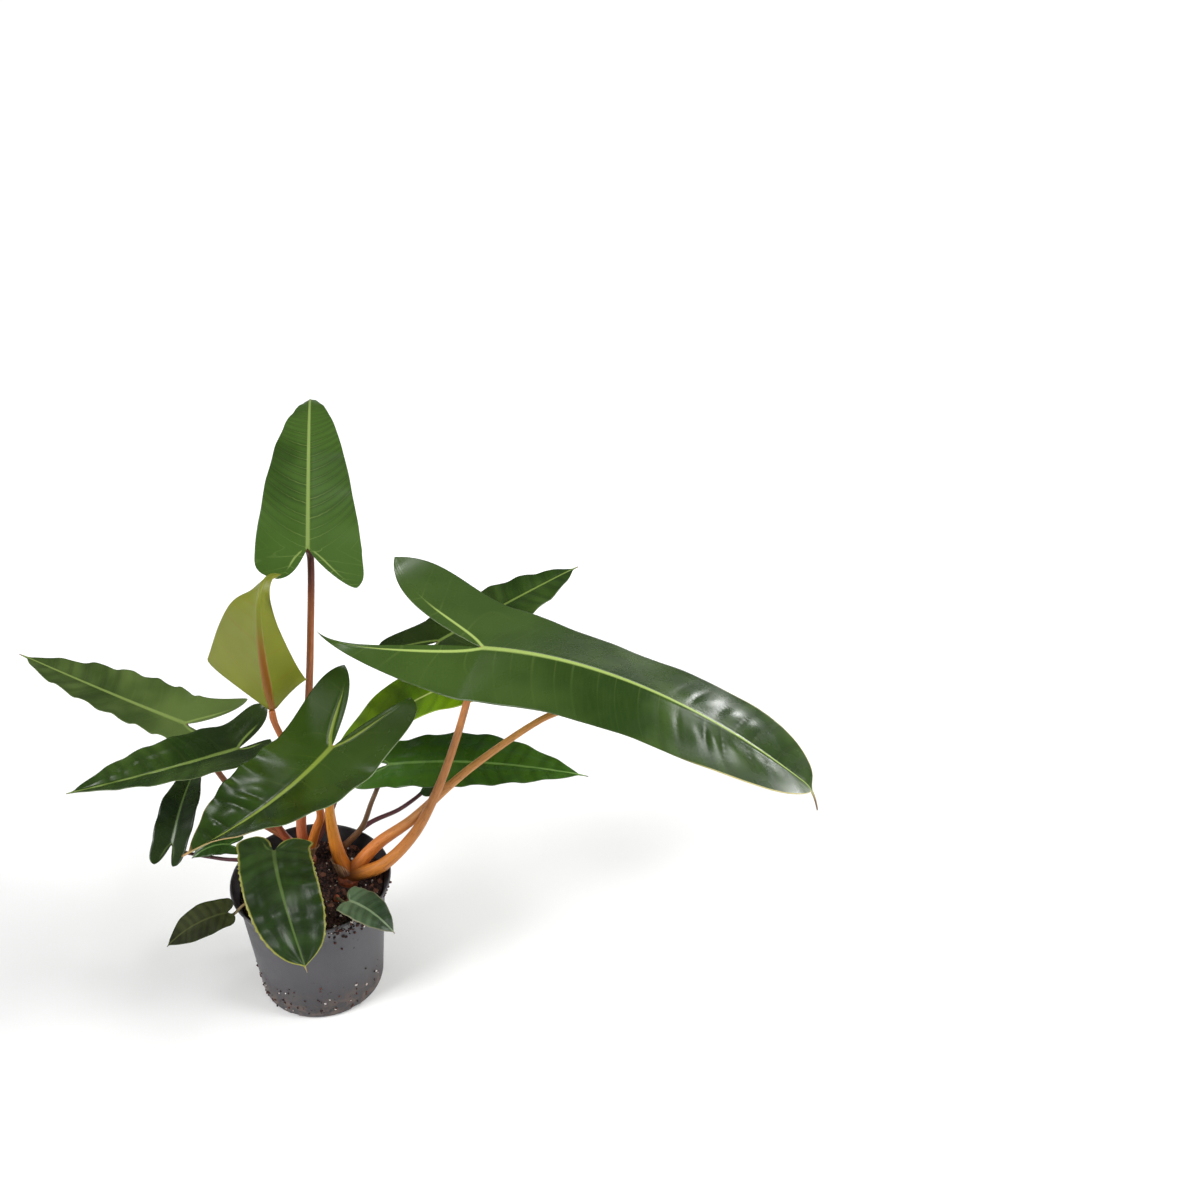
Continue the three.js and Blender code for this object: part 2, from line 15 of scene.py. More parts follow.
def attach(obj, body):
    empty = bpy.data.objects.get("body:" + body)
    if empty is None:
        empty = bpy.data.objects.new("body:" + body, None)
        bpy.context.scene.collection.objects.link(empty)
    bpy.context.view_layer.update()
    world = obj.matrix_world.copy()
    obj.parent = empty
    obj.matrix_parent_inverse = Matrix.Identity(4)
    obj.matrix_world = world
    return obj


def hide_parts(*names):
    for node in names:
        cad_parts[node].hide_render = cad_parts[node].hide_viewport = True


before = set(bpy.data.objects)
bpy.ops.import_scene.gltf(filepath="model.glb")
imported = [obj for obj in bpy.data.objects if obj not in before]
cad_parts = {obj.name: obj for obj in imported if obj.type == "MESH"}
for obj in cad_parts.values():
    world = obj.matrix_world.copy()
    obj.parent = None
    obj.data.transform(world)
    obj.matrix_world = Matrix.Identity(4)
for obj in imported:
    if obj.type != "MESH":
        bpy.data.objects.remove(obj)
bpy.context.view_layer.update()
MM = 0.001

# Camera and light, in metres
CAMERA_PLACE = (0.2177, -0.8764, 0.936)
CAMERA_TILT = 56.4
CAMERA_LENS = 47.46
FLOOR_RADIUS = 30.0
FLOOR_SIDES = 96
SKY_STRENGTH = 0.2
# Turn from +Y towards +X, height, breadth in degrees, and strength
SUNS = {"right_sun": (98, 34, 30, 2.6), "left_sun": (-122, 36, 30, 2.9)}
# Place, aim, size, power, and the beam's spread in degrees
LAMPS = {
    "low_window": ((1.56, 1.9, 0.63), (0.3, -0.05, 0.25), (0.6, 0.45), 14, 180),
    "high_window": ((1.58, 0.68, 1.95), (0.3, -0.05, 0.25), (0.5, 0.55), 15, 180),
    "side_lamp": ((-0.31, 0.4, 0.93), (-0.03, -0.1, 0.24), (0.2, 0.2), 0.02, 22),
    "front_window": ((0.75, -1.05, 1.6), (0, -0.06, 0.12), (0.4, 0.3), 5, 180),
}

# Pot
POT_HEIGHT = 104
RIM_RADIUS = 60
COLLAR_RADIUS = 54.6
COLLAR_HEIGHT = 13
FLARE_HEIGHT = 9.4
LIP_WIDTH = 1.1
LIP_HEIGHT = 1.3
FOOT_RADIUS = 43
FOOT_ROUNDING = 3.5
POT_WALL = 1.2
POT_FLOOR = 2.4
POT_SIDES = 144
DRAIN_SLOTS = 6
DRAIN_SLOT_SIZE = (9, 7, 5.6)
DRAIN_FIRST_ANGLE = 250

# Soil
SOIL_LEVEL = 93
SOIL_HEAP = 4
SOIL_CRUMBS = 0.9
SOIL_STEP = 1.3
SPILL_ANGLE = (-0.75, 0.4)
SPILL_DROP = 9
SPLASH_ANGLES = (-2.9, -0.3)
SPLASH_HEIGHT = 16
GRAIN_ROUGHNESS = 0.22
GRAIN_TILT = 0.7
COVER_SEED = 7

# Shoots: where each stands, its radius and its top
SHOOTS = {
    "shoot_main": {"at": (27, 6), "radius": 8.5, "top": 103, "slot": "stalk_orange"},
    "shoot_rear": {"at": (-8, 26), "radius": 8, "top": 103, "slot": "stalk_orange"},
    "shoot_far": {"at": (17, 38), "radius": 4.5, "top": 101, "slot": "stalk_brown"},
    "shoot_left": {"at": (-24, 10), "radius": 4, "top": 101, "slot": "stalk_brown"},
    "sprig_front": {"at": (-6, -6), "radius": 3.2, "top": 100, "slot": "stalk_brown"},
    "sprig_right": {"at": (21, -15), "radius": 2.6, "top": 100, "slot": "stalk_brown"},
}
STEM_FOOT = 81
STALK_ROOT_DEPTH = 4
STALK_FLARE = 2.5
STALK_SIDES = 20
STALK_STEP = 2.5
STALK_RIDGE = 0.025
STALK_FURROW = 0.06
STEM_SCAR_STEP = 5
# Length of the old sheath round a stalk's foot, and its turn from the front in radians
SHEATHS = {
    "blade_front": (15, -1.3), "blade_lime": (10, 2.4), "blade_new": (16, 0.8), "blade_tall": (14, -0.9),
}
SHEATH_FRONT = np.array([0.25, -1, 0.3])
SHEATH_REACH = 1.7
SHEATH_DEPTH = 0.4

# Blades: thickness, mesh spacing, and the shapes of tip, neck and lobes
BLADE_EDGE = 0.7
BLADE_KEEL = 2.6
KEEL_TAPER = 0.6
KEEL_SHARE = 0.12
BLADE_ROW = 1.8
BLADE_COLUMN = 1.4
TIP_START = 0.955
TIP_LENGTH = 0.09
TIP_WIDTH = 0.06
NECK_LENGTH = 0.12
HOOK_START = 0.93
WAVE_SHIFT = 1.7
LOBE_LIFT = 1.25
LOBE_BEND = (0.9, -0.05)
SINUS_BEND = (-0.55, -0.1)
LOBE_CROWDING = 1.5

# Ribs, lateral veins and the puffs between them
RIB_TIP_RADIUS = 0.5
LOBE_RIB_SHARE = 0.2
LOBE_RIB_FADE = (0.3, 0.8)
RIB_HEIGHT = 0.35
RIB_GROOVE = 0.12
VEIN_SLOPE = 0.15
VEIN_CURVE = 0.3
LOBE_VEIN_SLOPE = -0.35
VEIN_OFFSET = 64
PUFF_PLACE = 0.38
PUFF_SPREAD = 0.24
PUFF_ROUNDNESS = 0.65
PUFF_RISE = 0.15
PUFF_END = (0.04, 0.25)


def srgb(red, green, blue):
    """Linear colour of an 8-bit screen colour."""
    levels = [v / 255 for v in (red, green, blue)]
    linear = [v / 12.92 if v <= 0.04045 else ((v + 0.055) / 1.055) ** 2.4 for v in levels]
    return (*linear, 1.0)


def both(*half):
    """The same values for the left half and the right half of a leaf."""
    return half, half


def tint(color, share):
    """The colour made darker, or lighter where share is over 1."""
    return (*(v * share for v in color[:3]), 1.0)


# Looks of the leaves, with screen colours: deep and pale mottle the upper side, under is the
# lower side. veins is how clearly the lateral veins show, rib_end where the rib below ends,
# gloss the roughness, shine the reflection and base_tone how light the base is.
DEEP_GREEN = {
    "slot": "leaf_green", "deep": (34, 55, 14), "pale": (53, 74, 27),
    "rib": (150, 170, 92), "margin": (196, 184, 120), "margin_width": 0.5,
    "under": (128, 142, 96), "under_rib": (140, 140, 76), "veins": 0.06, "rib_end": 1.1,
    "dry": (112, 84, 46), "gloss": 0.26, "shine": 0.3, "base_tone": 1.15,
}
FRONT_GREEN = dict(
    DEEP_GREEN, deep=(24, 44, 4), pale=(42, 63, 14), rib=(114, 130, 50),
    margin=(168, 140, 92), dry=(178, 140, 92), gloss=0.22,
)
MATT_GREEN = dict(
    DEEP_GREEN, deep=(50, 68, 26), pale=(78, 96, 46), rib=(116, 134, 70),
    margin=(80, 84, 50), gloss=0.36, shine=0.2,
)
TALL_GREEN = dict(
    MATT_GREEN, deep=(38, 60, 14), pale=(58, 84, 30), rib=(120, 140, 74), veins=0.4,
    dry=(40, 40, 20), gloss=0.46, shine=0.12,
)
LOW_GREEN = dict(
    DEEP_GREEN, deep=(30, 52, 8), pale=(58, 80, 28), rib=(108, 128, 60),
    margin=(70, 80, 40), base_tone=0.12,
)
RIM_GREEN = dict(
    DEEP_GREEN, deep=(24, 42, 10), pale=(46, 68, 28), rib=(76, 96, 48),
    margin=(142, 142, 66), margin_width=1.3, dry=(150, 130, 80), gloss=0.32,
)
DARK_GREEN = dict(
    DEEP_GREEN, slot="leaf_dark", deep=(30, 58, 14), pale=(48, 76, 28),
    rib=(90, 122, 62), margin=(50, 60, 30), under=(78, 96, 56), dry=(60, 50, 30),
)
# Painted shade: the dark green made darker for the hanging leaf, whose upper face lies in shade.
PAINTED_SHADE_GREEN = dict(DARK_GREEN, deep=(14, 28, 6), pale=(34, 50, 18), rib=(70, 88, 44))
# Painted light: the dark green made lighter for the leaf that lies in the long leaf's shadow, to make up
# for that shadow.
PAINTED_LIGHT_GREEN = dict(DARK_GREEN, deep=(40, 76, 16), pale=(62, 98, 32), rib=(112, 146, 80))
DULL_GREEN = dict(
    DARK_GREEN, deep=(22, 26, 8), pale=(52, 58, 26), rib=(62, 68, 34), gloss=0.6,
    shine=0.1,
)
BLUE_GREEN = dict(
    DEEP_GREEN, slot="leaf_blue", deep=(36, 54, 32), pale=(80, 100, 72),
    rib=(112, 130, 98), margin=(110, 110, 80), gloss=0.34,
)
LIME_GREEN = dict(
    DEEP_GREEN, slot="leaf_lime", deep=(86, 122, 2), pale=(112, 148, 10), shine=0.2,
    rib=(186, 200, 120), margin=(150, 176, 50), under=(150, 170, 70),
    under_rib=(186, 190, 90),
)
# The new leaf's own yellow-olive, made brighter and more yellow as painted light that shines through it
# from behind.
BACKLIT_OLIVE_GREEN = dict(
    DEEP_GREEN, slot="leaf_olive", deep=(110, 130, 50), pale=(140, 152, 70),
    rib=(170, 120, 60), margin=(120, 116, 50), under=(113, 119, 31),
    under_rib=(126, 80, 22), veins=0.1, rib_end=0.42,
)

# Each blade: its midrib runs from base through middle to tip, face points off its upper
# side, and half_width, belly, taper, fold and lobes give the left half first, seen from
# base to tip. fold is each half's rise in degrees at base, middle and tip. A lobe is how
# far out, back and up its end lies, and how round it is. stalk lists the leaf stalk's
# points and radii its thick and thin end. hook is how far the last part of the tip bends.
# rib is the midrib's half width at the base and veins the spacing of the lateral veins.
# puff is how far each half rises between them, from puff_from on, margin_from where the
# margin turns pale, both as shares of the length, and tip_dry the length of the dry tip.
# crinkle is the height of finer wrinkles and ragged how uneven the margin is. USUAL_LEAF
# holds what most leaves share.
USUAL_LEAF = {
    "belly": (0.1, 0.1), "taper": both(2.6, 0.8), "puff_from": 0, "margin_from": 2, "tip_dry": 2,
}
LEAF_START = ("name", "shoot", "look", "base", "middle", "tip", "face")


def blade(*start, **rest):
    """A leaf from the values that LEAF_START names and the rest by name, over the usual ones."""
    return {**USUAL_LEAF, **dict(zip(LEAF_START, start)), **rest}


LEAVES = [
    blade("blade_tall", "shoot_rear", TALL_GREEN, (14, 62, 356), (13, 119, 423), (5, 172, 413),
          (0, -0.35, 0.94), fold=both(4, 0, -34), half_width=(36.5, 38.5), belly=(0.12, 0.05),
          taper=both(1, 1.15), lobes=((21, 22, 0, 0.6), (35, 27, 0, 0.3)), wave=(1.2, 6, 0),
          stalk=((-9, 28, 127), (-2, 37, 185), (4, 48, 232), (9, 56, 280)), radii=(4.4, 2.5), rib=1.5,
          veins=5, puff=(0.14, 0.14)),
    blade("blade_new", "shoot_rear", BACKLIT_OLIVE_GREEN, (-13, 8, 255), (-13, 14, 342), (-4, 50, 341),
          (-0.15, 1, 0.2), face_tip=(0, -0.4, -1), fold=((44, 50, 40), (42, 48, 40)),
          half_width=(58, 79), belly=(0, 0), taper=((0.45, 1), (0.65, 1)), neck=3.6,
          sweep=(-0.65, -0.08), wave=(0.8, 4, 0), in_line=True,
          stalk=((-2, 24, 114), (4, 20, 133), (10, 15, 152), (6, 11, 182), (-5, 11, 214)),
          radii=(4.4, 2.3), rib=2.4, veins=14, puff=(0.3, 0.3), margin_from=-1, tip_dry=0),
    blade("blade_left_high", "shoot_rear", MATT_GREEN, (-97, 70, 195), (-157, 96, 203),
          (-241, 140, 210), (0.1, -0.1, 0.97), fold=both(12, 17, 14), half_width=(24, 26),
          belly=(0.05, 0.05), taper=((3.6, 0.7), (2.6, 0.8)),
          lobes=((16, 30, 6, 0.5), (25, 40, 18, 0.35)), wave=(1.6, 6, 0),
          stalk=((-24, 34, 113), (-46, 42, 124), (-68, 54, 150), (-84, 63, 173)), radii=(3.6, 2.2),
          rib=1.9, veins=14, puff=(0.4, 0.6), puff_from=0.4, tip_dry=3),
    blade("blade_front", "shoot_main", FRONT_GREEN, (33, -27, 250), (-4, -84, 245), (-53, -116, 232),
          (-0.1, -0.1, 0.95), fold=((6, 18, 60), (6, 4, 4)), half_width=(45, 38), belly=(0.04, 0.12),
          taper=((2.2, 0.9), (3.6, 0.7)), lobes=((34, 54, 10, 0.45), (25, 63, 19, 0.6)), wave=(1, 5, 1),
          stalk=((21, 8, 121), (19, 6, 157), (25, -8, 200)), radii=(6.4, 2.6), rib=2.2, veins=16,
          puff=(1.2, 1.6), puff_from=0.3, margin_from=0.62, tip_dry=9),
    blade("blade_left_low", "shoot_rear", LOW_GREEN, (-50, 36, 198), (-108, 6, 199), (-168, -3, 188),
          (0, -0.1, 0.97), fold=both(12, 17, 14), half_width=(23, 25), belly=(0.3, 0.05),
          taper=((1.4, 1), (2.6, 0.8)), lobes=((9, 22, 6, 0.5), (19, 32, 12, 0.8)), wave=(0.8, 5, 2),
          stalk=((-20, 29, 113), (-33, 31, 143), (-42, 33, 173)), radii=(3.4, 2.1), rib=1.7, veins=14,
          puff=(0.5, 1.2), puff_from=0.1, crinkle=0.3),
    blade("blade_hanging", "shoot_left", PAINTED_SHADE_GREEN, (-107, 22, 118), (-102, 52, 137), (-97, 84, 142),
          (-0.2, -0.5, 0.85), fold=both(18, 16, 14), half_width=(15, 16), taper=both(2.8, 0.8),
          lobes=((9, 18, 3, 0.5), (7, 18, 3, 0.5)), wave=(0.8, 3, 0),
          stalk=((-40, 12, 107), (-70, 13, 110)), radii=(2, 1.3), rib=1.2, veins=9, puff=(0.4, 0.4),
          puff_from=0.1),
    blade("blade_over_rim", "sprig_front", RIM_GREEN, (-22, -10, 139), (-10, -48, 130), (8, -80, 86),
          (0.1, -0.3, 0.9), fold=both(-2, -2, 6), half_width=(26, 26), belly=(0.05, 0.04),
          taper=((8, 0.6), (6, 0.7)), lobes=((17, 11, 3, 0.9), (12, 18, 4, 0.9)), wave=(1, 5, 0),
          stalk=((-10, -8, 112),), radii=(2.2, 1.5), rib=1.6, veins=15, puff=(1, 0.4), puff_from=-1,
          margin_from=-1, tip_dry=4, crinkle=0.7, ragged=0.022),
    blade("blade_small_left", "sprig_front", DULL_GREEN, (-55, -41, 107), (-79, -46, 99),
          (-101, -49, 80), (0.3, -0.3, 0.9), fold=both(4, 4, 4), half_width=(11, 11),
          belly=(0.25, 0.25), taper=both(3, 0.8), lobes=both(5, 6, 1, 0.5), wave=(0.5, 3, 0),
          stalk=((-20, -17, 104), (-43, -33, 107.5)), radii=(1.5, 1), rib=0.8, veins=7, puff=(0.7, 0.7),
          puff_from=-1, margin_from=-1, tip_dry=3, crinkle=0.4),
    blade("blade_small_right", "sprig_right", BLUE_GREEN, (35, -37, 115), (53, -49, 115),
          (70, -59, 104), (0, -0.2, 0.95), fold=both(8, 8, 8), half_width=(12, 12), belly=(0.15, 0.15),
          taper=both(3, 0.8), lobes=((7, 6, 1, 0.7), (6, 3, 1, 0.7)), wave=(0.6, 4, 0),
          stalk=((25, -25, 105),), radii=(1.5, 1), rib=1.1, veins=7, puff=(0.9, 0.9), puff_from=-1,
          margin_from=-1, crinkle=0.4),
    blade("blade_long", "shoot_main", DEEP_GREEN, (137, 14, 305), (253.5, -29, 300), (372, -54, 226),
          (0, -0.11, 1), face_tip=(0, 0.07, 1), fold=((-8, -17, 30), (-12, -17, 14)),
          half_width=(55, 46), belly=(0.01, -0.12), taper=((3.2, 0.45), (8, 0.65)),
          lobes=((44, 82, 50, 0.9), (51, 91, 60, -0.05)), wave=(0.5, 4, 0), hook=(-5, 0, -9),
          stalk=((54, 0, 115), (80, 4, 143), (99, 9, 181), (115, 12, 227)), radii=(6, 2.7), rib=2.1,
          veins=16.5, puff=(1.3, 1.3), puff_from=0.48, margin_from=0.6, tip_dry=12),
    blade("blade_lime", "shoot_main", LIME_GREEN, (207, 66, 230), (122, 60, 245), (8, 44, 175),
          (0, -0.1, 1), fold=both(4, 4, 4), half_width=(28, 32), taper=((3, 0.8), (7, 0.7)),
          lobes=both(20, 38, 8, 0.5), wave=(1.2, 5, 0),
          stalk=((50, 12, 125), (78, 13, 149), (106, 19, 176), (126, 29, 189), (174, 50, 214)),
          radii=(6, 2.5), rib=1.5, veins=14, puff=(0.5, 0.5), puff_from=0.1, margin_from=-1),
    blade("blade_right_dark", "shoot_far", PAINTED_LIGHT_GREEN, (57, 58, 165), (130, 56, 168), (209, 50, 160),
          (0, -0.25, 0.97), fold=both(4, 4, 4), half_width=(19, 22), belly=(0.45, 0.15),
          taper=((3.6, 0.8), (2.6, 0.8)), lobes=((9, 16, 0, 0.5), (15, 28, 0, 0.5)), wave=(1.2, 6, 1),
          stalk=((34, 42, 115), (43, 47, 137)), radii=(3, 1.8), rib=1.3, veins=13, puff=(1.5, 0.8),
          puff_from=0.3, crinkle=0.4),
    blade("blade_behind", "shoot_rear", LOW_GREEN, (100, 72, 270), (152, 104, 284), (201, 144, 289),
          (0, -0.2, 0.97), fold=both(8, 8, 8), half_width=(21, 26), belly=(0.05, 0.05),
          lobes=((18, 40, 4, 0.5), (20, 40, 4, 0.5)), wave=(1.2, 5, 0),
          stalk=((6, 44, 119), (24, 76, 155), (43, 97, 183), (78, 94, 233)), radii=(3.8, 2.2), rib=1.3,
          veins=12, puff=(0.5, 0.7), puff_from=0.3),
    blade("blade_little", "shoot_left", DARK_GREEN, (-63, 19, 119), (-77, 16, 119), (-91, 11, 112),
          (0, -0.3, 0.95), fold=both(10, 10, 10), half_width=(9, 9), lobes=both(6, 10, 1, 0.5),
          wave=(0.5, 3, 0), stalk=((-40, 18, 108),), radii=(1.6, 1), rib=0.7, veins=6, puff=(0.3, 0.3),
          tip_dry=1),
    blade("blade_hidden", "shoot_far", DARK_GREEN, (82, 76, 132), (108, 88, 137), (140, 98, 129),
          (0, -0.3, 0.95), fold=both(10, 10, 10), half_width=(14, 14),
          lobes=((8, 11, 4, 0.5), (8, 9, 4, 0.5)), wave=(0.6, 4, 0),
          stalk=((38, 50, 112), (62, 62, 117)), radii=(2.6, 1.6), rib=0.8, veins=8, puff=(0.4, 0.4),
          tip_dry=1),
]

# Screen colours of each stalk at its foot, its middle and its top
STALK_COLORS = {
    "blade_tall": ((192, 108, 72), (148, 88, 52), (72, 26, 26)),
    "blade_new": ((196, 116, 44), (180, 102, 44), (150, 84, 36)),
    "blade_left_high": ((150, 84, 52), (120, 74, 50), (120, 96, 52)),
    "blade_front": ((192, 108, 30), (200, 132, 50), (172, 128, 56)),
    "blade_left_low": ((168, 84, 52), (150, 80, 56), (130, 96, 52)),
    "blade_hanging": ((96, 56, 56), (84, 52, 60), (70, 56, 52)),
    "blade_over_rim": ((150, 110, 60), (130, 110, 60), (120, 124, 70)),
    "blade_small_left": ((150, 130, 80), (140, 120, 80), (110, 104, 70)),
    "blade_small_right": ((130, 100, 70), (110, 110, 80), (100, 120, 80)),
    "blade_long": ((190, 116, 44), (186, 122, 66), (176, 102, 64)),
    "blade_lime": ((196, 112, 44), (198, 140, 82), (196, 132, 86)),
    "blade_right_dark": ((130, 90, 60), (104, 82, 60), (90, 76, 50)),
    "blade_behind": ((110, 62, 60), (100, 60, 60), (96, 70, 56)),
    "blade_little": ((96, 56, 56), (90, 56, 60), (80, 64, 52)),
    "blade_hidden": ((96, 52, 56), (84, 48, 58), (70, 50, 54)),
}


def unit(v):
    return v / np.linalg.norm(v, axis=-1, keepdims=True)


def smooth(value, low, high):
    """0 below low and 1 above high, with a smooth rise between them."""
    share = np.clip((value - low) / (high - low), 0, 1)
    return share * share * (3 - 2 * share)


def through(a, b, c, t):
    """Curve value at t that passes through three equally spaced values."""
    return 2 * (a + c - 2 * b) * t * t + (4 * b - 3 * a - c) * t + a


def midrib(leaf, t):
    """Points of the midrib, with the tip's hook."""
    a, b, c = (np.array(leaf[key], float) for key in ("base", "middle", "tip"))
    t = np.asarray(t, float)[..., None]
    bent = np.maximum(0, (t - HOOK_START) / (1 - HOOK_START)) ** 2
    return through(a, b, c, t) + np.array(leaf.get("hook", (0, 0, 0))) * bent


def axes(leaf, t):
    """Midrib points and the directions along the midrib, off the face and to the right."""
    step = 0.001
    along = unit(midrib(leaf, t + step) - midrib(leaf, t - step))
    face = unit(np.array(leaf["face"], float))
    face_tip = unit(np.array(leaf.get("face_tip", leaf["face"]), float))
    up = face + (face_tip - face) * np.asarray(t, float)[..., None]
    up = unit(up - along * np.sum(up * along, axis=-1, keepdims=True))
    return midrib(leaf, t), along, up, np.cross(along, up)


def blade_length(leaf):
    points = midrib(leaf, np.linspace(0, 1, 21))
    return float(np.linalg.norm(np.diff(points, axis=0), axis=1).sum())


def half_width(leaf, side, t):
    """Half width of the blade, which narrows to a drawn-out tip."""
    p, q = leaf["taper"][side]
    u = np.minimum(t / TIP_START, 1)
    width = (1 + leaf["belly"][side] * np.sin(np.pi * u)) * (1 - u**p) ** q
    if "neck" in leaf:
        start = leaf["neck"] / leaf["half_width"][side]
        width = width * (start + (1 - start) * np.sin(np.minimum(u / NECK_LENGTH, 1) * np.pi / 2))
    tip = np.minimum((1 - t) / TIP_LENGTH, 1) * TIP_WIDTH
    return leaf["half_width"][side] * np.maximum(width, tip)


def uneven(lead, leaf, side):
    """Number of the lateral vein at a distance along the blade, at a slightly uneven spacing."""
    vein = lead / leaf["veins"] + 0.37 * side
    return vein + 0.12 * np.sin(2.6 * vein + 1.7 * side) + 0.05 * np.sin(7.1 * vein)


def relief(leaf, side, rib, vein, along, share, edge):
    """Height of the upper face over the plain blade: ribs, grooves beside them and puffs."""
    ridge = RIB_HEIGHT * np.exp(-1.2 * rib**2) - RIB_GROOVE * np.exp(-((rib - 2.2) ** 2))
    across = np.exp(-(((share - PUFF_PLACE) / PUFF_SPREAD) ** 2))
    size = 0.75 + 0.25 * np.sin(5.3 * np.floor(vein))
    start = leaf["puff_from"]
    kept = smooth(along, start, start + PUFF_RISE) * smooth(1 - along, *PUFF_END)
    puff = size * np.abs(np.sin(np.pi * vein)) ** PUFF_ROUNDNESS * across * kept
    crease = np.sin(9 * share + 2.2 * vein + side) * np.sin(5 * share - 1.7 * vein)
    swell = leaf["puff"][side] * puff + leaf.get("crinkle", 0) * crease
    return ridge * smooth(edge, 0, 2) + swell * smooth(edge, 0, 8)


def blade_half(leaf, side, t, c):
    """One half of the blade at every t and c, from the midrib at c = 0 to the margin at 1."""
    point, along, up, right = (v[:, None, :] for v in axes(leaf, t))
    sign = -1 if side == 0 else 1
    height, count, phase = leaf["wave"]
    width = half_width(leaf, side, t)[:, None]
    t = t[:, None]
    fold = np.radians(through(*leaf["fold"][side], t))
    fade = np.minimum(1.5 * width / leaf["half_width"][side], 1)
    turn = 2 * np.pi * count * t + phase + side * WAVE_SHIFT
    ripple = np.sin(turn) + 0.15 * np.sin(2.3 * turn + 1)
    ragged = np.sin(1.9 * turn + 2) * np.sin(5.3 * turn) * leaf.get("ragged", 0)
    x = width * c * (1 + c * ragged * fade)
    sweep = leaf.get("sweep", (0, 0))[side] * np.minimum(t / NECK_LENGTH, 1)
    shape = x.shape
    fold, t = (np.broadcast_to(v, shape) for v in (fold, t))
    length = blade_length(leaf)
    edge = np.minimum(width - x, (1 - t) * length)
    rib = x / (RIB_TIP_RADIUS + (leaf["rib"] - RIB_TIP_RADIUS) * (1 - t))
    vein = uneven(t * length - VEIN_SLOPE * x - VEIN_CURVE * x * c, leaf, side)
    off = up * np.cos(fold)[..., None] - sign * right * np.sin(fold)[..., None]
    top = (
        point
        + sign * right * (x * np.cos(fold))[..., None]
        + up * (x * np.sin(fold) + height * c * c * fade * ripple)[..., None]
        + along * (x * sweep)[..., None]
        + off * relief(leaf, side, rib, vein, t, np.broadcast_to(c, shape), edge)[..., None]
    )
    keel = (BLADE_KEEL * (1 - KEEL_TAPER * t) - BLADE_EDGE) * np.cos(
        np.pi / 2 * np.minimum(np.broadcast_to(c, shape) / KEEL_SHARE, 1)
    ) ** 2
    depth = BLADE_EDGE + np.maximum(keel, 0)
    return {"top": top, "off": off, "depth": depth, "along": t, "rib": rib, "edge": edge, "vein": vein}


def bezier(points, s):
    a, b, c, d = (np.array(p, float) for p in points)
    s = s[:, None]
    return (1 - s) ** 3 * a + 3 * s * (1 - s) ** 2 * b + 3 * s * s * (1 - s) * c + s**3 * d


def lobe_edges(leaf, side, s):
    """Inner and outer edge of a basal lobe in the plane of the blade, from base to end."""
    width = float(half_width(leaf, side, np.array(0.0)))
    out, back, _, roundness = leaf["lobes"][side]
    end = np.array([out, -back], float)
    axis = unit(end - (width / 2, 0))
    outward = np.array([-axis[1], axis[0]])
    outward = outward if outward[0] >= 0 else -outward
    bulge = width * roundness
    bend = [
        end + outward * across * bulge + axis * along * back for across, along in (LOBE_BEND, SINUS_BEND)
    ]
    outer = bezier([(width, 0), (width, -0.45 * back), bend[0], end], s)
    inner = bezier([(0, 0), (0.12 * width, -0.35 * back), bend[1], end], s)
    return inner, outer


def lobe(leaf, side, s, c):
    """A basal lobe at every s from base to end, and every c from the sinus outwards."""
    point, along, up, right = (v[0] for v in axes(leaf, np.zeros(1)))
    sign = -1 if side == 0 else 1
    inner, outer = lobe_edges(leaf, side, s)
    wide = np.linalg.norm(outer - inner, axis=1)[:, None]
    place = inner[:, None] + (outer - inner)[:, None] * c[:, None]
    s = np.broadcast_to(s[:, None], place.shape[:2])
    fold = math.radians(leaf["fold"][side][0])
    height, _, phase = leaf["wave"]
    back, lift = leaf["lobes"][side][1:3]
    turn = phase + side * WAVE_SHIFT
    ripple = height * c * c * (1 - s) * (math.sin(turn) + 0.15 * math.sin(2.3 * turn + 1))
    rib_at = LOBE_RIB_SHARE * (1 - np.exp(-s / 0.15))
    from_rib = (c - rib_at) * wide
    rib = np.abs(from_rib) / (RIB_TIP_RADIUS + (0.7 * leaf["rib"] - RIB_TIP_RADIUS) * (1 - s))
    rib = rib + smooth(s, *LOBE_RIB_FADE)
    start = (1 - s) ** 3
    slope = VEIN_SLOPE * start + LOBE_VEIN_SLOPE * (1 - start)
    lead = -s * back - slope * np.abs(from_rib) - VEIN_CURVE * start * c * from_rib
    vein = uneven(lead, leaf, side)
    edge = np.minimum(np.minimum(1 - c, c + (1 - s) ** 12) * wide, (1 - s) * back)
    off = up * math.cos(fold) - sign * right * math.sin(fold)
    top = (
        point
        + sign * right * (place[..., :1] * math.cos(fold))
        + up * (place[..., :1] * math.sin(fold) + (lift * s**LOBE_LIFT + ripple)[..., None])
        + along * place[..., 1:]
        + off * relief(leaf, side, rib, vein, -s, np.abs(c - rib_at), edge)[..., None]
    )
    return {
        "top": top, "off": np.broadcast_to(off, top.shape), "depth": np.full(s.shape, BLADE_EDGE),
        "along": np.zeros(s.shape), "rib": rib, "edge": edge, "vein": vein,
    }


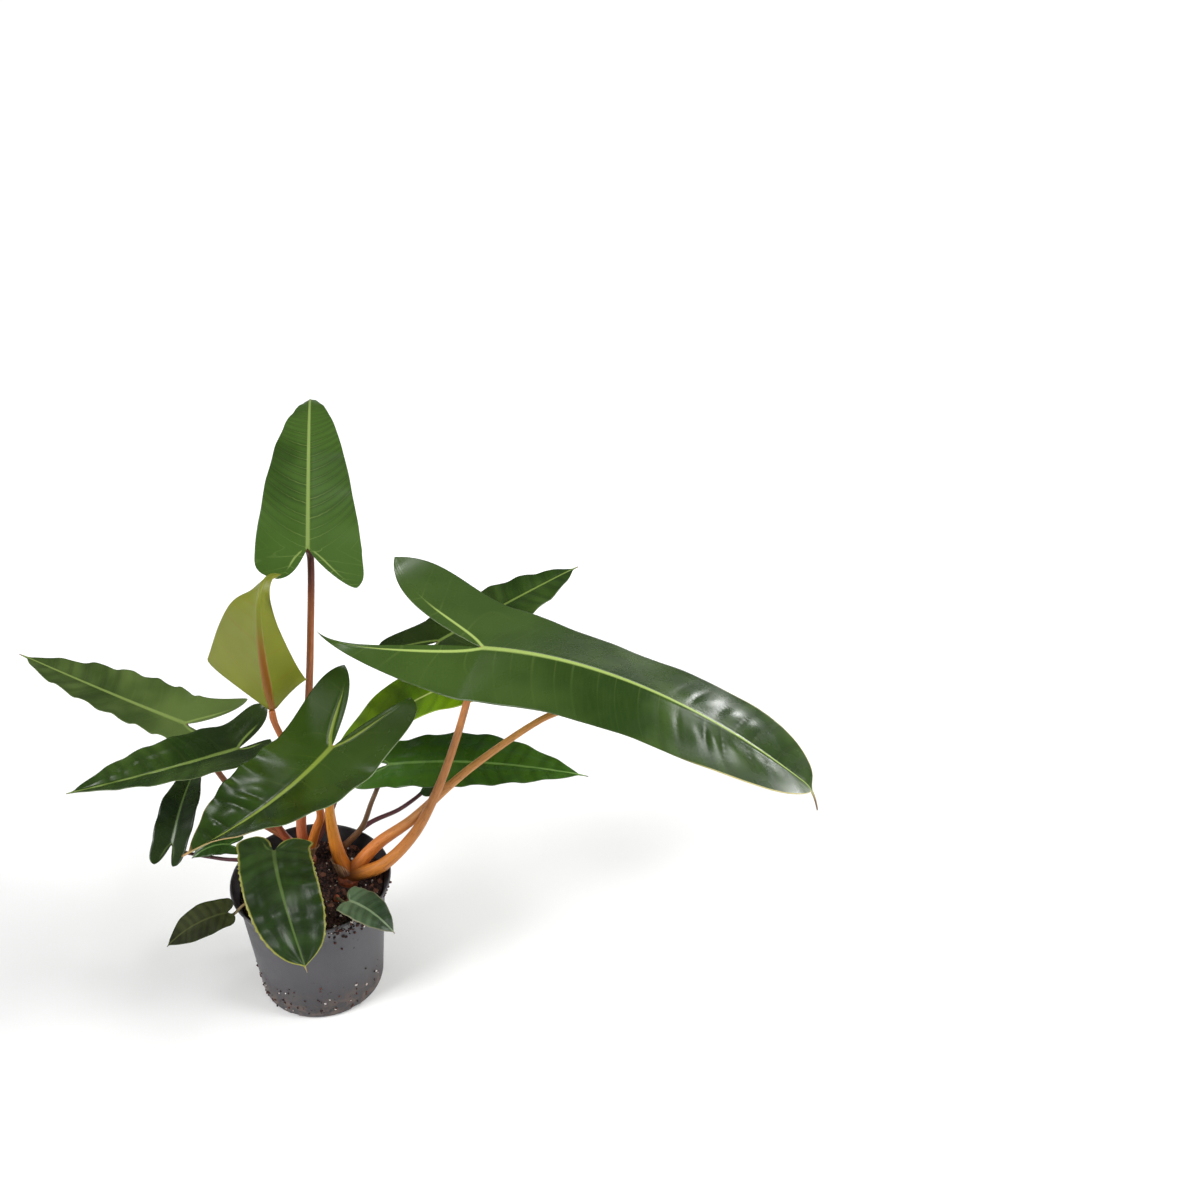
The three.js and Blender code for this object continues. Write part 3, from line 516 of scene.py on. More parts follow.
class Sheet:
    """A closed sheet from patches of upper points, their depth and values for the material."""

    VALUES = ("along", "rib", "edge", "vein")

    def __init__(self):
        self.parts = []
        self.count = 0
        self.faces = []

    def add(self, patch):
        """Adds a patch's points and returns their numbers in its own grid."""
        size = patch["depth"].size
        self.parts.append({key: np.reshape(v, (size, -1)) for key, v in patch.items()})
        self.count += size
        return np.arange(self.count - size, self.count).reshape(patch["depth"].shape)

    def quads(self, grid, flip=False):
        a, b, c, d = grid[:-1, :-1], grid[:-1, 1:], grid[1:, 1:], grid[1:, :-1]
        corners = (a, d, c, b) if flip else (a, b, c, d)
        self.faces += np.stack(corners, axis=-1).reshape(-1, 4).tolist()

    def fan(self, row, end, flip=False):
        for a, b in zip(row[:-1], row[1:]):
            self.faces.append([b, a, end] if flip else [a, b, end])

    def mesh(self, name):
        joined = {key: np.concatenate([part[key] for part in self.parts]) for key in self.parts[0]}
        upper = joined["top"] * MM
        lower = upper - joined["off"] * joined["depth"] * MM
        once = {}
        for face in self.faces:
            for a, b in zip(face, face[1:] + face[:1]):
                if once.pop((b, a), None) is None:
                    once[(a, b)] = True
        under = [[a + self.count for a in reversed(face)] for face in self.faces]
        wall = [[b, a, a + self.count, b + self.count] for a, b in once]
        mesh = bpy.data.meshes.new(name)
        mesh.from_pydata(np.concatenate([upper, lower]).tolist(), [], self.faces + under + wall)
        for key in self.VALUES:
            put_values(mesh, key, np.tile(joined[key].ravel(), 2))
        put_values(mesh, "under", np.repeat([0.0, 1.0], self.count))
        return mesh


def put_values(mesh, name, values):
    layer = mesh.attributes.new(name, "FLOAT", "POINT")
    layer.data.foreach_set("value", np.asarray(values, np.float32))


def blade_mesh(leaf):
    """The blade and its two basal lobes as one closed sheet."""
    sheet = Sheet()
    rows = max(8, round(blade_length(leaf) / BLADE_ROW))
    widest = max(leaf["half_width"])
    c = np.linspace(0, 1, max(6, round(widest / BLADE_COLUMN)) + 1)
    t = np.arange(rows) / rows
    left = blade_half(leaf, 0, t, c[:0:-1])
    right = blade_half(leaf, 1, t, c)
    grid = sheet.add({key: np.concatenate([left[key], right[key]], axis=1) for key in left})
    sheet.quads(grid)
    tip = sheet.add(blade_half(leaf, 1, np.ones(1), np.zeros(1)))
    sheet.fan(grid[-1].tolist(), int(tip[0, 0]))
    middle = len(c) - 1
    for side in (0, 1) if "lobes" in leaf else ():
        first = grid[0, middle::-1] if side == 0 else grid[0, middle:]
        steps = max(6, round(leaf["lobes"][side][1] / BLADE_ROW))
        s = 1 - (1 - np.arange(1, steps) / steps) ** LOBE_CROWDING
        body = sheet.add(lobe(leaf, side, s, c))
        sheet.quads(np.vstack([first, body]), flip=side == 1)
        end = sheet.add(lobe(leaf, side, np.ones(1), np.full(1, 0.5)))
        sheet.fan(body[-1].tolist(), int(end[0, 0]), flip=side == 1)
    return sheet.mesh(leaf["name"].replace("blade", "leaf"))


def add_object(name, data):
    """A new object of the scene that shows the data."""
    thing = bpy.data.objects.new(name, data)
    bpy.context.scene.collection.objects.link(thing)
    return thing


def finish_piece(mesh, material, node=None, smooth_shading=True):
    """Makes the mesh an object of the plant that rides on its body."""
    mesh.polygons.foreach_set("use_smooth", [smooth_shading] * len(mesh.polygons))
    mesh.materials.append(material)
    piece = add_object(mesh.name, mesh)
    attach(piece, "root")
    if node:
        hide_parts(node)
    return piece


class Shader:
    """Short names for the nodes of one material."""

    def __init__(self, name):
        self.material = bpy.data.materials.new(name)
        self.material.use_nodes = True
        self.nodes = self.material.node_tree.nodes
        self.links = self.material.node_tree.links
        self.surface = self.nodes["Principled BSDF"]

    def put(self, socket, value):
        if isinstance(value, bpy.types.NodeSocket):
            self.links.new(value, socket)
        else:
            socket.default_value = value

    def set(self, **values):
        for name, value in values.items():
            self.put(self.surface.inputs[name.replace("_", " ").title().replace("Ior", "IOR")], value)

    def node(self, kind, output, *values, **named):
        """One output of a new node whose inputs take the values, in order or by name."""
        node = self.nodes.new("ShaderNode" + kind)
        for socket, value in zip(node.inputs, values):
            self.put(socket, value)
        for name, value in named.items():
            self.put(node.inputs[name], value)
        return node.outputs[output]

    def attribute(self, name, output="Fac"):
        socket = self.node("Attribute", output)
        socket.node.attribute_name = name
        return socket

    def place(self):
        return self.node("TexCoord", "Object")

    def combine(self, x, y):
        return self.node("CombineXYZ", 0, x, y)

    def part(self, vector, axis):
        return self.node("SeparateXYZ", axis, vector)

    def math(self, kind, a, b, clamp=False):
        socket = self.node("Math", 0, a, b)
        socket.node.operation = kind
        socket.node.use_clamp = clamp
        return socket

    def times(self, a, b):
        return self.math("MULTIPLY", a, b)

    def plus(self, a, b, clamp=False):
        return self.math("ADD", a, b, clamp)

    def ramp(self, value, low, high, start=0.0, end=1.0):
        """start below low and end above high, with a smooth change between them."""
        socket = self.node("MapRange", 0, value, low, high, start, end)
        socket.node.interpolation_type = "SMOOTHSTEP"
        return socket

    def mix(self, share, a, b):
        node = self.nodes.new("ShaderNodeMix")
        node.data_type = "RGBA"
        self.put(node.inputs["Factor"], share)
        self.put(node.inputs[6], a)
        self.put(node.inputs[7], b)
        return node.outputs[2]

    def noise(self, vector, scale, detail=3.0):
        return self.node("TexNoise", "Fac", Vector=vector, Scale=scale, Detail=detail, Roughness=0.55)

    def cells(self, vector, scale):
        """Distance from the nearest of many scattered points."""
        return self.node("TexVoronoi", "Distance", Vector=vector, Scale=scale)

    def bump(self, height, distance):
        return self.node("Bump", 0, Height=height, Distance=distance, Strength=1.0)


def leaf_material(leaf):
    """Glossy green with pale ribs, faint lateral veins, a thin pale margin and a dry tip."""
    look = {key: srgb(*v) if isinstance(v, tuple) else v for key, v in leaf["look"].items()}
    sh = Shader(leaf["name"].replace("blade", "leaf"))
    place = sh.place()
    rib = sh.attribute("rib")
    edge = sh.attribute("edge")
    vein = sh.plus(sh.attribute("vein"), VEIN_OFFSET)
    under = sh.attribute("under")
    along = sh.attribute("along")
    blotch = sh.ramp(sh.noise(place, 22, 2), 0.36, 0.66)
    color = sh.mix(blotch, look["deep"], look["pale"])
    grain = sh.noise(sh.combine(sh.times(vein, 9), sh.times(edge, 0.06)), 1.0, 3)
    color = sh.mix(sh.ramp(grain, 0.4, 0.8, 0, 0.25), color, look["pale"])
    color = sh.mix(sh.ramp(along, 0, 0.35, 0.6, 0), color, tint(look["pale"], look["base_tone"]))
    # Painted shade: the grooves at the veins of the puffed part are darkened towards the deep colour.
    painted_valley_shade = sh.ramp(sh.math("PINGPONG", vein, 0.5), 0, 0.4, 0.45, 0)
    ridged = sh.ramp(along, leaf["puff_from"], leaf["puff_from"] + PUFF_RISE)
    color = sh.mix(sh.times(painted_valley_shade, ridged), color, tint(look["deep"], 0.55))
    line = sh.ramp(sh.math("PINGPONG", vein, 0.5), 0.01, 0.05, 1, 0)
    near = sh.ramp(rib, 1, 16, 1, 0.3)
    clear = sh.times(sh.times(line, near), look["veins"])
    color = sh.mix(clear, color, look["rib"])
    color = sh.mix(sh.ramp(rib, 0.5, 1.35, 0.95, 0), color, look["rib"])
    back = sh.mix(blotch, look["under"], tint(look["under"], 0.85))
    back = sh.mix(sh.times(line, 0.15), back, look["under_rib"])
    shown = sh.ramp(along, look["rib_end"] - 0.25, look["rib_end"], 1, 0)
    back = sh.mix(sh.times(sh.ramp(rib, 0.9, 1.3, 1, 0), shown), back, look["under_rib"])
    color = sh.mix(under, color, back)
    worn = sh.plus(edge, sh.times(sh.noise(place, 120), -1.2 * look["margin_width"]))
    pale = sh.ramp(along, leaf["margin_from"], leaf["margin_from"] + 0.15, 0, 0.9)
    rim = sh.ramp(worn, -0.1, 0.9 * look["margin_width"], 1, 0)
    color = sh.mix(sh.times(rim, pale), color, look["margin"])
    share = max(leaf["tip_dry"], 0.5) / blade_length(leaf)
    frayed = sh.plus(along, sh.times(sh.noise(place, 220), 0.01))
    color = sh.mix(sh.ramp(frayed, 1 - share, 1 - 0.2 * share), color, look["dry"])
    rough = sh.ramp(sh.noise(place, 60), 0.3, 0.7, look["gloss"] - 0.03, look["gloss"] + 0.06)
    rough = sh.plus(rough, sh.times(under, 0.16))
    skin = sh.bump(sh.noise(place, 500, 2), 0.00004)
    sh.set(base_color=color, roughness=rough, specular_ior_level=look["shine"], normal=skin)
    return sh.material


def catmull_rom(points, spacing):
    """Points along a centripetal spline about the given distance apart, their shares, its length."""
    points = np.array(points, float)
    ends = [2 * points[0] - points[1], *points, 2 * points[-1] - points[-2]]

    def blend(a, b, t, low, high):
        return a + (b - a) * (t - low) / (high - low)

    fine = []
    for p in zip(ends[:-3], ends[1:-2], ends[2:-1], ends[3:]):
        k = np.cumsum([0] + [max(np.linalg.norm(b - a), 1e-6) ** 0.5 for a, b in zip(p, p[1:])])
        t = np.linspace(k[1], k[2], 24, endpoint=False)[:, None]
        a = blend(p[0], p[1], t, k[0], k[1])
        b = blend(p[1], p[2], t, k[1], k[2])
        c = blend(p[2], p[3], t, k[2], k[3])
        fine.append(blend(blend(a, b, t, k[0], k[2]), blend(b, c, t, k[1], k[3]), t, k[1], k[2]))
    fine = np.vstack([*fine, points[-1]])
    reach = np.concatenate([[0], np.cumsum(np.linalg.norm(np.diff(fine, axis=0), axis=1))])
    share = np.linspace(0, 1, max(8, round(reach[-1] / spacing)) + 1)
    path = np.stack([np.interp(share * reach[-1], reach, fine[:, k]) for k in range(3)], axis=1)
    return path, share, reach[-1]


def ring_frames(path):
    """Two directions across the path at each of its points, turning as little as they can."""
    tangents = unit(np.gradient(path, axis=0))
    side = unit(np.cross(tangents[0], (0.3, 0.9, 0.1)))
    sides = []
    for tangent in tangents:
        side = unit(side - tangent * np.dot(side, tangent))
        sides.append(side)
    sides = np.array(sides)
    return sides, np.cross(tangents, sides)


def stalk_path(leaf):
    """The leaf stalk's spline from inside its shoot's stem to inside the blade's keel."""
    shoot = SHOOTS[leaf["shoot"]]
    point, along, up, _ = (v[0] for v in axes(leaf, np.zeros(1)))
    root = (*shoot["at"], shoot["top"] - STALK_ROOT_DEPTH)
    reach = 2 + 3 * leaf["radii"][1]
    if leaf.get("in_line"):
        end = point - up * BLADE_KEEL / 2 + along
        bend = end - along * (reach + 1)
    else:
        end = point - up
        bend = end - up * (0.75 * reach + BLADE_KEEL - 1) - along * 0.65 * reach
    return catmull_rom([root, *leaf["stalk"], bend, end], STALK_STEP)


def stalk_mesh(leaf):
    """A tapering stalk with shallow ridges, a broad foot and a slight swelling below the blade."""
    path, share, length = stalk_path(leaf)
    first, second = ring_frames(path)
    thick, thin = leaf["radii"]
    radius = thin + (thick - thin) * (1 - share) ** STALK_FLARE
    below = (1 - share) * length
    radius = radius * (1 + 0.1 * np.exp(-(((below - 7) / 4) ** 2)))
    angle = np.linspace(0, 2 * np.pi, STALK_SIDES, endpoint=False)[None, :]
    ridges = 1 + STALK_RIDGE * np.sin(5 * angle + 4 * share[:, None])
    ridges = ridges - STALK_FURROW * np.exp(-((angle - 3) / 0.35) ** 2)
    across = radius[:, None] * ridges
    x = across * np.cos(angle)
    y = across * np.sin(angle)
    rings = path[:, None] + first[:, None] * x[..., None] + second[:, None] * y[..., None]
    count = len(path)
    grid = np.arange(count * STALK_SIDES).reshape(count, STALK_SIDES)
    turned = np.roll(grid, -1, axis=1)
    quads = np.stack([grid[:-1], turned[:-1], turned[1:], grid[1:]], axis=-1).reshape(-1, 4).tolist()
    caps = [grid[0, ::-1].tolist(), grid[-1].tolist()]
    mesh = bpy.data.meshes.new("stalk_" + leaf["name"].removeprefix("blade_"))
    mesh.from_pydata((rings.reshape(-1, 3) * MM).tolist(), [], quads + caps)
    put_values(mesh, "along", np.repeat(share, STALK_SIDES))
    grain = np.stack([x, y, np.broadcast_to(share[:, None] * length * 0.12, x.shape)], axis=-1)
    layer = mesh.attributes.new("grain", "FLOAT_VECTOR", "POINT")
    layer.data.foreach_set("vector", (grain * MM).astype(np.float32).ravel())
    return mesh


def stalk_material(leaf):
    """Smooth stalk whose colour changes from foot to top, with fine streaks and warts along it."""
    foot, middle, top = (srgb(*color) for color in STALK_COLORS[leaf["name"]])
    sh = Shader("stalk_" + leaf["name"].removeprefix("blade_"))
    along = sh.attribute("along")
    grain = sh.attribute("grain", "Vector")
    color = sh.mix(sh.ramp(along, 0.05, 0.45), foot, middle)
    color = sh.mix(sh.ramp(along, 0.7, 0.97), color, top)
    color = sh.mix(sh.ramp(along, 0.01, 0.1, 0.85, 0), color, srgb(88, 40, 22))
    streak = sh.noise(grain, 900, 3)
    color = sh.mix(sh.ramp(streak, 0.45, 0.75, 0, 0.45), color, srgb(104, 60, 30))
    color = sh.mix(sh.ramp(streak, 0.2, 0.42, 0.35, 0), color, srgb(222, 158, 84))
    fleck = sh.ramp(sh.cells(sh.place(), 380), 0.1, 0.2, 0.5, 0)
    color = sh.mix(fleck, color, srgb(120, 64, 34))
    height = sh.plus(streak, fleck)
    sh.set(base_color=color, roughness=sh.ramp(streak, 0.3, 0.7, 0.3, 0.45), specular_ior_level=0.3,
           normal=sh.bump(height, 0.0002))
    return sh.material


def sheath_mesh():
    """Papery remains of old leaf bases, half round the feet of the thicker stalks."""
    sheet = Sheet()
    height = np.linspace(0, 1, 18)
    for leaf in LEAVES:
        if leaf["name"] not in SHEATHS:
            continue
        length, turn = SHEATHS[leaf["name"]]
        path, share, total = stalk_path(leaf)
        place = (STALK_ROOT_DEPTH + height * length) / total
        point, first, second = (
            np.stack([np.interp(place, share, v[:, k]) for k in range(3)], axis=1)
            for v in (path, *ring_frames(path))
        )
        thick, thin = leaf["radii"]
        radius = 1.06 * (thin + (thick - thin) * (1 - place) ** STALK_FLARE) + 0.5 + 1.4 * height**3
        front = np.arctan2(second @ SHEATH_FRONT, first @ SHEATH_FRONT)
        reach = SHEATH_REACH * np.sqrt(1 - 0.96 * height**1.6)
        angle = (front + turn)[:, None] + reach[:, None] * np.linspace(-1, 1, 11)
        off = first[:, None] * np.cos(angle)[..., None] + second[:, None] * np.sin(angle)[..., None]
        frill = 0.25 * np.sin(5 * angle) * height[:, None]
        top = point[:, None] + off * (radius[:, None] + frill)[..., None]
        level = np.broadcast_to(height[:, None], angle.shape)
        depth = np.full(angle.shape, SHEATH_DEPTH)
        values = {"along": level, "rib": level, "edge": level, "vein": angle}
        sheet.quads(sheet.add({"top": top, "off": off, "depth": depth, **values}))
    return sheet.mesh("old_sheaths")


def sheath_material():
    """Dry tan paper with brown streaks along it, darker at the foot."""
    sh = Shader("old_sheath")
    level = sh.attribute("along")
    streak = sh.noise(sh.combine(sh.times(sh.attribute("vein"), 6), level), 1.6, 4)
    color = sh.mix(sh.ramp(streak, 0.35, 0.65), srgb(120, 74, 48), srgb(190, 150, 112))
    color = sh.mix(sh.ramp(level, 0, 0.5, 0.8, 0), color, srgb(84, 44, 28))
    sh.set(base_color=color, roughness=0.7, normal=sh.bump(streak, 0.0006))
    return sh.material


def lathe_mesh(name, profile, sides, centre=(0, 0)):
    """Closed turned body from (radius, height) points that start and end on the axis."""
    mesh = bpy.data.meshes.new(name)
    body = bmesh.new()
    angle = np.linspace(0, 2 * np.pi, sides, endpoint=False)
    rings = []
    for radius, height in profile:
        if radius == 0:
            rings.append([body.verts.new((centre[0] * MM, centre[1] * MM, height * MM))] * sides)
            continue
        x = (centre[0] + radius * np.cos(angle)) * MM
        y = (centre[1] + radius * np.sin(angle)) * MM
        rings.append([body.verts.new((a, b, height * MM)) for a, b in zip(x, y)])
    for lower, upper in zip(rings, rings[1:]):
        for k in range(sides):
            corners = (lower[k], lower[(k + 1) % sides], upper[(k + 1) % sides], upper[k])
            body.faces.new(dict.fromkeys(corners))
    body.to_mesh(mesh)
    body.free()
    return mesh


def stem_mesh(name):
    """The short stem of a shoot, ringed by the scars of old leaves and rounded on top."""
    shoot = SHOOTS[name]
    radius, top = shoot["radius"], shoot["top"]
    profile = [(0, STEM_FOOT)]
    for height in np.arange(STEM_FOOT, top - 5, 0.7):
        scar = 0.05 * radius * math.exp(-((height % STEM_SCAR_STEP - STEM_SCAR_STEP / 2) / 0.6) ** 2)
        profile.append((0.93 * radius + scar, float(height)))
    for k in range(9):
        turn = math.pi / 2 * k / 9
        profile.append((0.94 * radius * math.cos(turn), top - 5 + 5 * math.sin(turn)))
    return lathe_mesh(name + "_stem", [*profile, (0, top)], 48, shoot["at"])


def stem_material():
    sh = Shader("stem")
    place = sh.place()
    color = sh.mix(sh.ramp(sh.noise(place, 260), 0.35, 0.65), srgb(92, 42, 22), srgb(150, 72, 34))
    low = sh.ramp(sh.part(place, 2), (SOIL_LEVEL - 2) * MM, (SOIL_LEVEL + 6) * MM, 0.8, 0)
    color = sh.mix(low, color, srgb(52, 32, 26))
    sh.set(base_color=color, roughness=0.5, normal=sh.bump(sh.noise(place, 900), 0.0004))
    return sh.material


def pot_taper(z):
    """Radius of the pot's outside below its collar."""
    rise = (COLLAR_RADIUS - FOOT_RADIUS - FOOT_ROUNDING) * z / (POT_HEIGHT - COLLAR_HEIGHT)
    return FOOT_RADIUS + FOOT_ROUNDING + rise


def pot_outside():
    """Half section of the pot's outside from the middle of its underside to its rim."""
    collar = POT_HEIGHT - COLLAR_HEIGHT
    corner = [
        (FOOT_RADIUS + FOOT_ROUNDING * math.sin(a), FOOT_ROUNDING * (1 - math.cos(a)))
        for a in np.linspace(0, math.pi / 2 - 0.1, 8)
    ]
    wall = [(pot_taper(z), float(z)) for z in np.linspace(FOOT_ROUNDING + 1, collar - 1, 28)]
    widening = RIM_RADIUS - 0.8 - COLLAR_RADIUS
    flare = [
        (COLLAR_RADIUS + widening * float(smooth(s, -0.3, 1.3)), collar + s * FLARE_HEIGHT)
        for s in np.linspace(0, 1, 8)
    ]
    lip = [
        (
            RIM_RADIUS - LIP_WIDTH + LIP_WIDTH * math.cos(a),
            POT_HEIGHT - LIP_HEIGHT + LIP_HEIGHT * math.sin(a),
        )
        for a in np.linspace(-math.pi / 3, math.pi / 2, 9)
    ]
    return [(0, 0), *corner, *wall, *flare, *lip]


def pot_piece():
    """Thin-walled nursery pot with a flared collar, a rolled lip and drain slots at its foot."""
    collar = POT_HEIGHT - COLLAR_HEIGHT
    inside = [
        (RIM_RADIUS - POT_WALL - 0.6, POT_HEIGHT - 0.8),
        (RIM_RADIUS - POT_WALL - 0.9, POT_HEIGHT - 2.4),
        (COLLAR_RADIUS - POT_WALL, collar),
        (pot_taper(POT_FLOOR + 3) - POT_WALL, POT_FLOOR + 3),
        (pot_taper(0) - POT_WALL - 3, POT_FLOOR),
        (0, POT_FLOOR),
    ]
    mesh = lathe_mesh("nursery_pot", pot_outside() + inside, POT_SIDES)
    pot = finish_piece(mesh, pot_material(), "pot")
    for k in range(DRAIN_SLOTS):
        cutter = slot_cutter(math.radians(DRAIN_FIRST_ANGLE + 360 / DRAIN_SLOTS * k))
        modifier = pot.modifiers.new("slot", "BOOLEAN")
        modifier.operation = "DIFFERENCE"
        modifier.solver = "EXACT"
        modifier.object = cutter
        bpy.context.view_layer.update()
        cut = bpy.data.meshes.new_from_object(pot.evaluated_get(bpy.context.evaluated_depsgraph_get()))
        pot.modifiers.clear()
        pot.data = cut
        bpy.data.objects.remove(cutter)
    pot.data.name = "nursery_pot"
    return pot


def slot_cutter(angle):
    mesh = bpy.data.meshes.new("slot")
    body = bmesh.new()
    bmesh.ops.create_cube(body, size=1)
    long, wide, high = (v * MM for v in DRAIN_SLOT_SIZE)
    bmesh.ops.scale(body, vec=(long, wide, high), verts=body.verts)
    bmesh.ops.translate(body, vec=((FOOT_RADIUS + 1) * MM, 0, 0), verts=body.verts)
    bmesh.ops.rotate(body, matrix=Matrix.Rotation(angle, 3, "Z"), verts=body.verts)
    body.to_mesh(mesh)
    body.free()
    return add_object("slot", mesh)


def pot_material():
    """Slate-grey matt plastic with fine grain, soil specks, brown smudges low down, dark rim patches, a
    darker foot.
    """
    sh = Shader("pot_plastic")
    place = sh.place()
    z = sh.part(place, 2)
    haze = sh.ramp(sh.noise(place, 28), 0.35, 0.7)
    color = sh.mix(haze, srgb(58, 57, 62), srgb(71, 69, 74))
    # Darker towards the bottom.
    color = sh.mix(sh.ramp(z, 0, 0.06, 0.8, 0), color, srgb(40, 35, 36))
    smear = sh.times(sh.ramp(z, 0.004, 0.034, 1, 0), sh.ramp(sh.noise(place, 110), 0.42, 0.62))
    color = sh.mix(sh.times(smear, 0.75), color, srgb(92, 74, 64))
    speck = sh.ramp(sh.cells(place, 230), 0.16, 0.24, 1, 0)
    where = sh.ramp(sh.noise(place, 60), sh.ramp(z, 0.015, 0.06, 0.38, 0.58), 0.64)
    color = sh.mix(sh.times(speck, where), color, srgb(26, 20, 18))
    rim = sh.ramp(z, (POT_HEIGHT - 7) * MM, (POT_HEIGHT - 0.5) * MM, 0, 0.4)
    color = sh.mix(sh.times(rim, sh.noise(place, 300)), color, srgb(30, 26, 26))
    grain = sh.noise(place, 1400, 2)
    sh.set(base_color=color, roughness=sh.ramp(haze, 0, 1, 0.42, 0.58), normal=sh.bump(grain, 0.00012))
    return sh.material


def soil_height(x, y):
    """Height of the soil: heaped towards the front right, with rounded lumps."""
    heap = SOIL_HEAP * (0.5 + (x - y) / (2.8 * RIM_RADIUS))
    lumps = math.sin(0.31 * x + 1) * math.cos(0.27 * y) + 0.6 * math.sin(0.53 * (x + y))
    clods = noise.noise(Vector((x, y, 3)) * 0.22) * 1.6 + noise.noise(Vector((x, y, 9)) * 0.6) * 0.8
    return SOIL_LEVEL - 2 + heap + SOIL_CRUMBS * lumps + clods


def soil_piece():
    """The body of the soil, with a lumpy top out to the pot's wall."""
    collar = POT_HEIGHT - COLLAR_HEIGHT
    edge = COLLAR_RADIUS - POT_WALL - 0.3
    foot = POT_FLOOR + 0.3
    rings = [(float(r), 2 * POT_HEIGHT) for r in np.arange(edge, SOIL_STEP, -SOIL_STEP)]
    low = [(0, foot), (pot_taper(0) - POT_WALL - 4, foot), (pot_taper(5) - POT_WALL - 0.4, 5.4)]
    profile = [*low, (edge - 0.3, collar - 3), *rings, (0, 2 * POT_HEIGHT)]
    mesh = lathe_mesh("soil_bed", profile, POT_SIDES)
    for vertex in mesh.vertices:
        if vertex.co.z > 1.5 * POT_HEIGHT * MM:
            vertex.co.z = soil_height(vertex.co.x / MM, vertex.co.y / MM) * MM
    return finish_piece(mesh, soil_material(), "soil")


def soil_material():
    sh = Shader("soil")
    place = sh.place()
    color = sh.mix(sh.ramp(sh.noise(place, 420, 5), 0.4, 0.62), srgb(20, 12, 12), srgb(66, 40, 34))
    height = sh.plus(sh.noise(place, 700, 5), sh.cells(place, 500))
    sh.set(base_color=color, roughness=0.9, normal=sh.bump(height, 0.0012))
    return sh.material


def chip_material(name, dark, light, roughness):
    """Rough material whose shade differs from chip to chip."""
    sh = Shader(name)
    place = sh.place()
    mottle = sh.ramp(sh.noise(place, 900), 0.3, 0.7, -0.25, 0.25)
    shade = sh.plus(sh.attribute("tone"), mottle, clamp=True)
    sh.set(base_color=sh.mix(shade, dark, light), roughness=roughness,
           normal=sh.bump(sh.noise(place, 1600), 0.0005))
    return sh.material


def chips_mesh(name, places, size, flatness, rng, level=1):
    """Irregular grains at the given places, each turned and stretched its own way."""
    ball = bmesh.new()
    bmesh.ops.create_icosphere(ball, subdivisions=level, radius=1)
    points = np.array([v.co for v in ball.verts])
    faces = np.array([[v.index for v in f.verts] for f in ball.faces])
    ball.free()
    verts, tris, tones = [], [], []
    for k, place in enumerate(places):
        scale = rng.uniform(*size) / 2 * rng.uniform(0.7, 1.3, 3) * (1, 1, flatness)
        grain = points * (1 + rng.uniform(-GRAIN_ROUGHNESS, GRAIN_ROUGHNESS, (len(points), 1))) * scale
        turn = Matrix.Rotation(rng.uniform(0, 6.28), 3, "Z")
        tilt = Matrix.Rotation(rng.uniform(-GRAIN_TILT, GRAIN_TILT), 3, "X")
        verts.append(grain @ np.array(turn @ tilt).T + place)
        tris.append(faces + k * len(points))
        tones.append(np.full(len(points), rng.uniform(0, 1)))
    mesh = bpy.data.meshes.new(name)
    mesh.from_pydata((np.concatenate(verts) * MM).tolist(), [], np.concatenate(tris).tolist())
    put_values(mesh, "tone", np.concatenate(tones))
    return mesh


def on_soil(count, rng, reach=52, lift=0.2):
    """Random places on the soil, clear of the stems."""
    places = []
    while len(places) < count:
        radius, angle = reach * math.sqrt(rng.uniform(0, 1)), rng.uniform(0, 2 * math.pi)
        x, y = radius * math.cos(angle), radius * math.sin(angle)
        if all(math.dist((x, y), s["at"]) > s["radius"] for s in SHOOTS.values()):
            places.append((x, y, soil_height(x, y) + lift))
    return places


def add_soil_cover():
    """Crumbs, bark chips and perlite on the soil and on the pot's wall."""
    rng = np.random.default_rng(COVER_SEED)
    crumb = chip_material("soil_crumb", srgb(18, 10, 10), srgb(84, 50, 42), 0.9)
    bark = chip_material("bark_chip", srgb(58, 30, 24), srgb(128, 82, 62), 0.8)
    perlite = chip_material("perlite", srgb(176, 160, 150), srgb(236, 230, 226), 0.85)
    # Name, places, sizes from and to, flatness and material
    cover = (
        ("soil_crumbs", on_soil(2200, rng), (1, 3), 0.7, crumb),
        ("bark_chips", on_soil(70, rng, lift=0.8), (2.5, 5.5), 0.35, bark),
        ("perlite_grains", on_soil(100, rng, lift=0.9), (0.8, 2.4), 0.8, perlite),
        ("spilled_crumbs", spilled_places(rng, 110), (1, 3.4), 0.8, crumb),
        ("spilled_grit", spilled_places(rng, 22), (0.6, 1.8), 0.8, perlite),
        ("dried_specks", splashed_places(rng, 85), (0.7, 2.4), 0.8, crumb),
        ("pale_specks", splashed_places(rng, 14), (0.7, 2.2), 0.8, perlite),
    )
    for name, places, size, flatness, material in cover:
        finish_piece(chips_mesh(name, places, size, flatness, rng), material,
                     smooth_shading=False)


def spilled_places(rng, count):
    """Places on the outside of the pot below its rim, where potting mix sticks at the front right."""
    radii, heights = np.array(pot_outside()).T
    places = []
    for _ in range(count):
        angle = rng.normal(*SPILL_ANGLE)
        z = POT_HEIGHT - abs(rng.normal(0, SPILL_DROP))
        radius = float(np.interp(z, heights, radii)) + 0.3
        places.append((radius * math.cos(angle), radius * math.sin(angle), z))
    return places


def splashed_places(rng, count):
    """Places low on the front of the pot's wall, where dried specks of soil stick."""
    places = []
    for _ in range(count):
        angle = rng.uniform(*SPLASH_ANGLES)
        z = 3 + abs(rng.normal(0, SPLASH_HEIGHT))
        places.append((pot_taper(z) * math.cos(angle), pot_taper(z) * math.sin(angle), z))
    return places


def floor_material():
    sh = Shader("floor")
    shade = sh.ramp(sh.noise(sh.place(), 3), 0.3, 0.7)
    sh.set(base_color=sh.mix(shade, srgb(236, 236, 236), srgb(240, 240, 240)), roughness=0.9)
    return sh.material


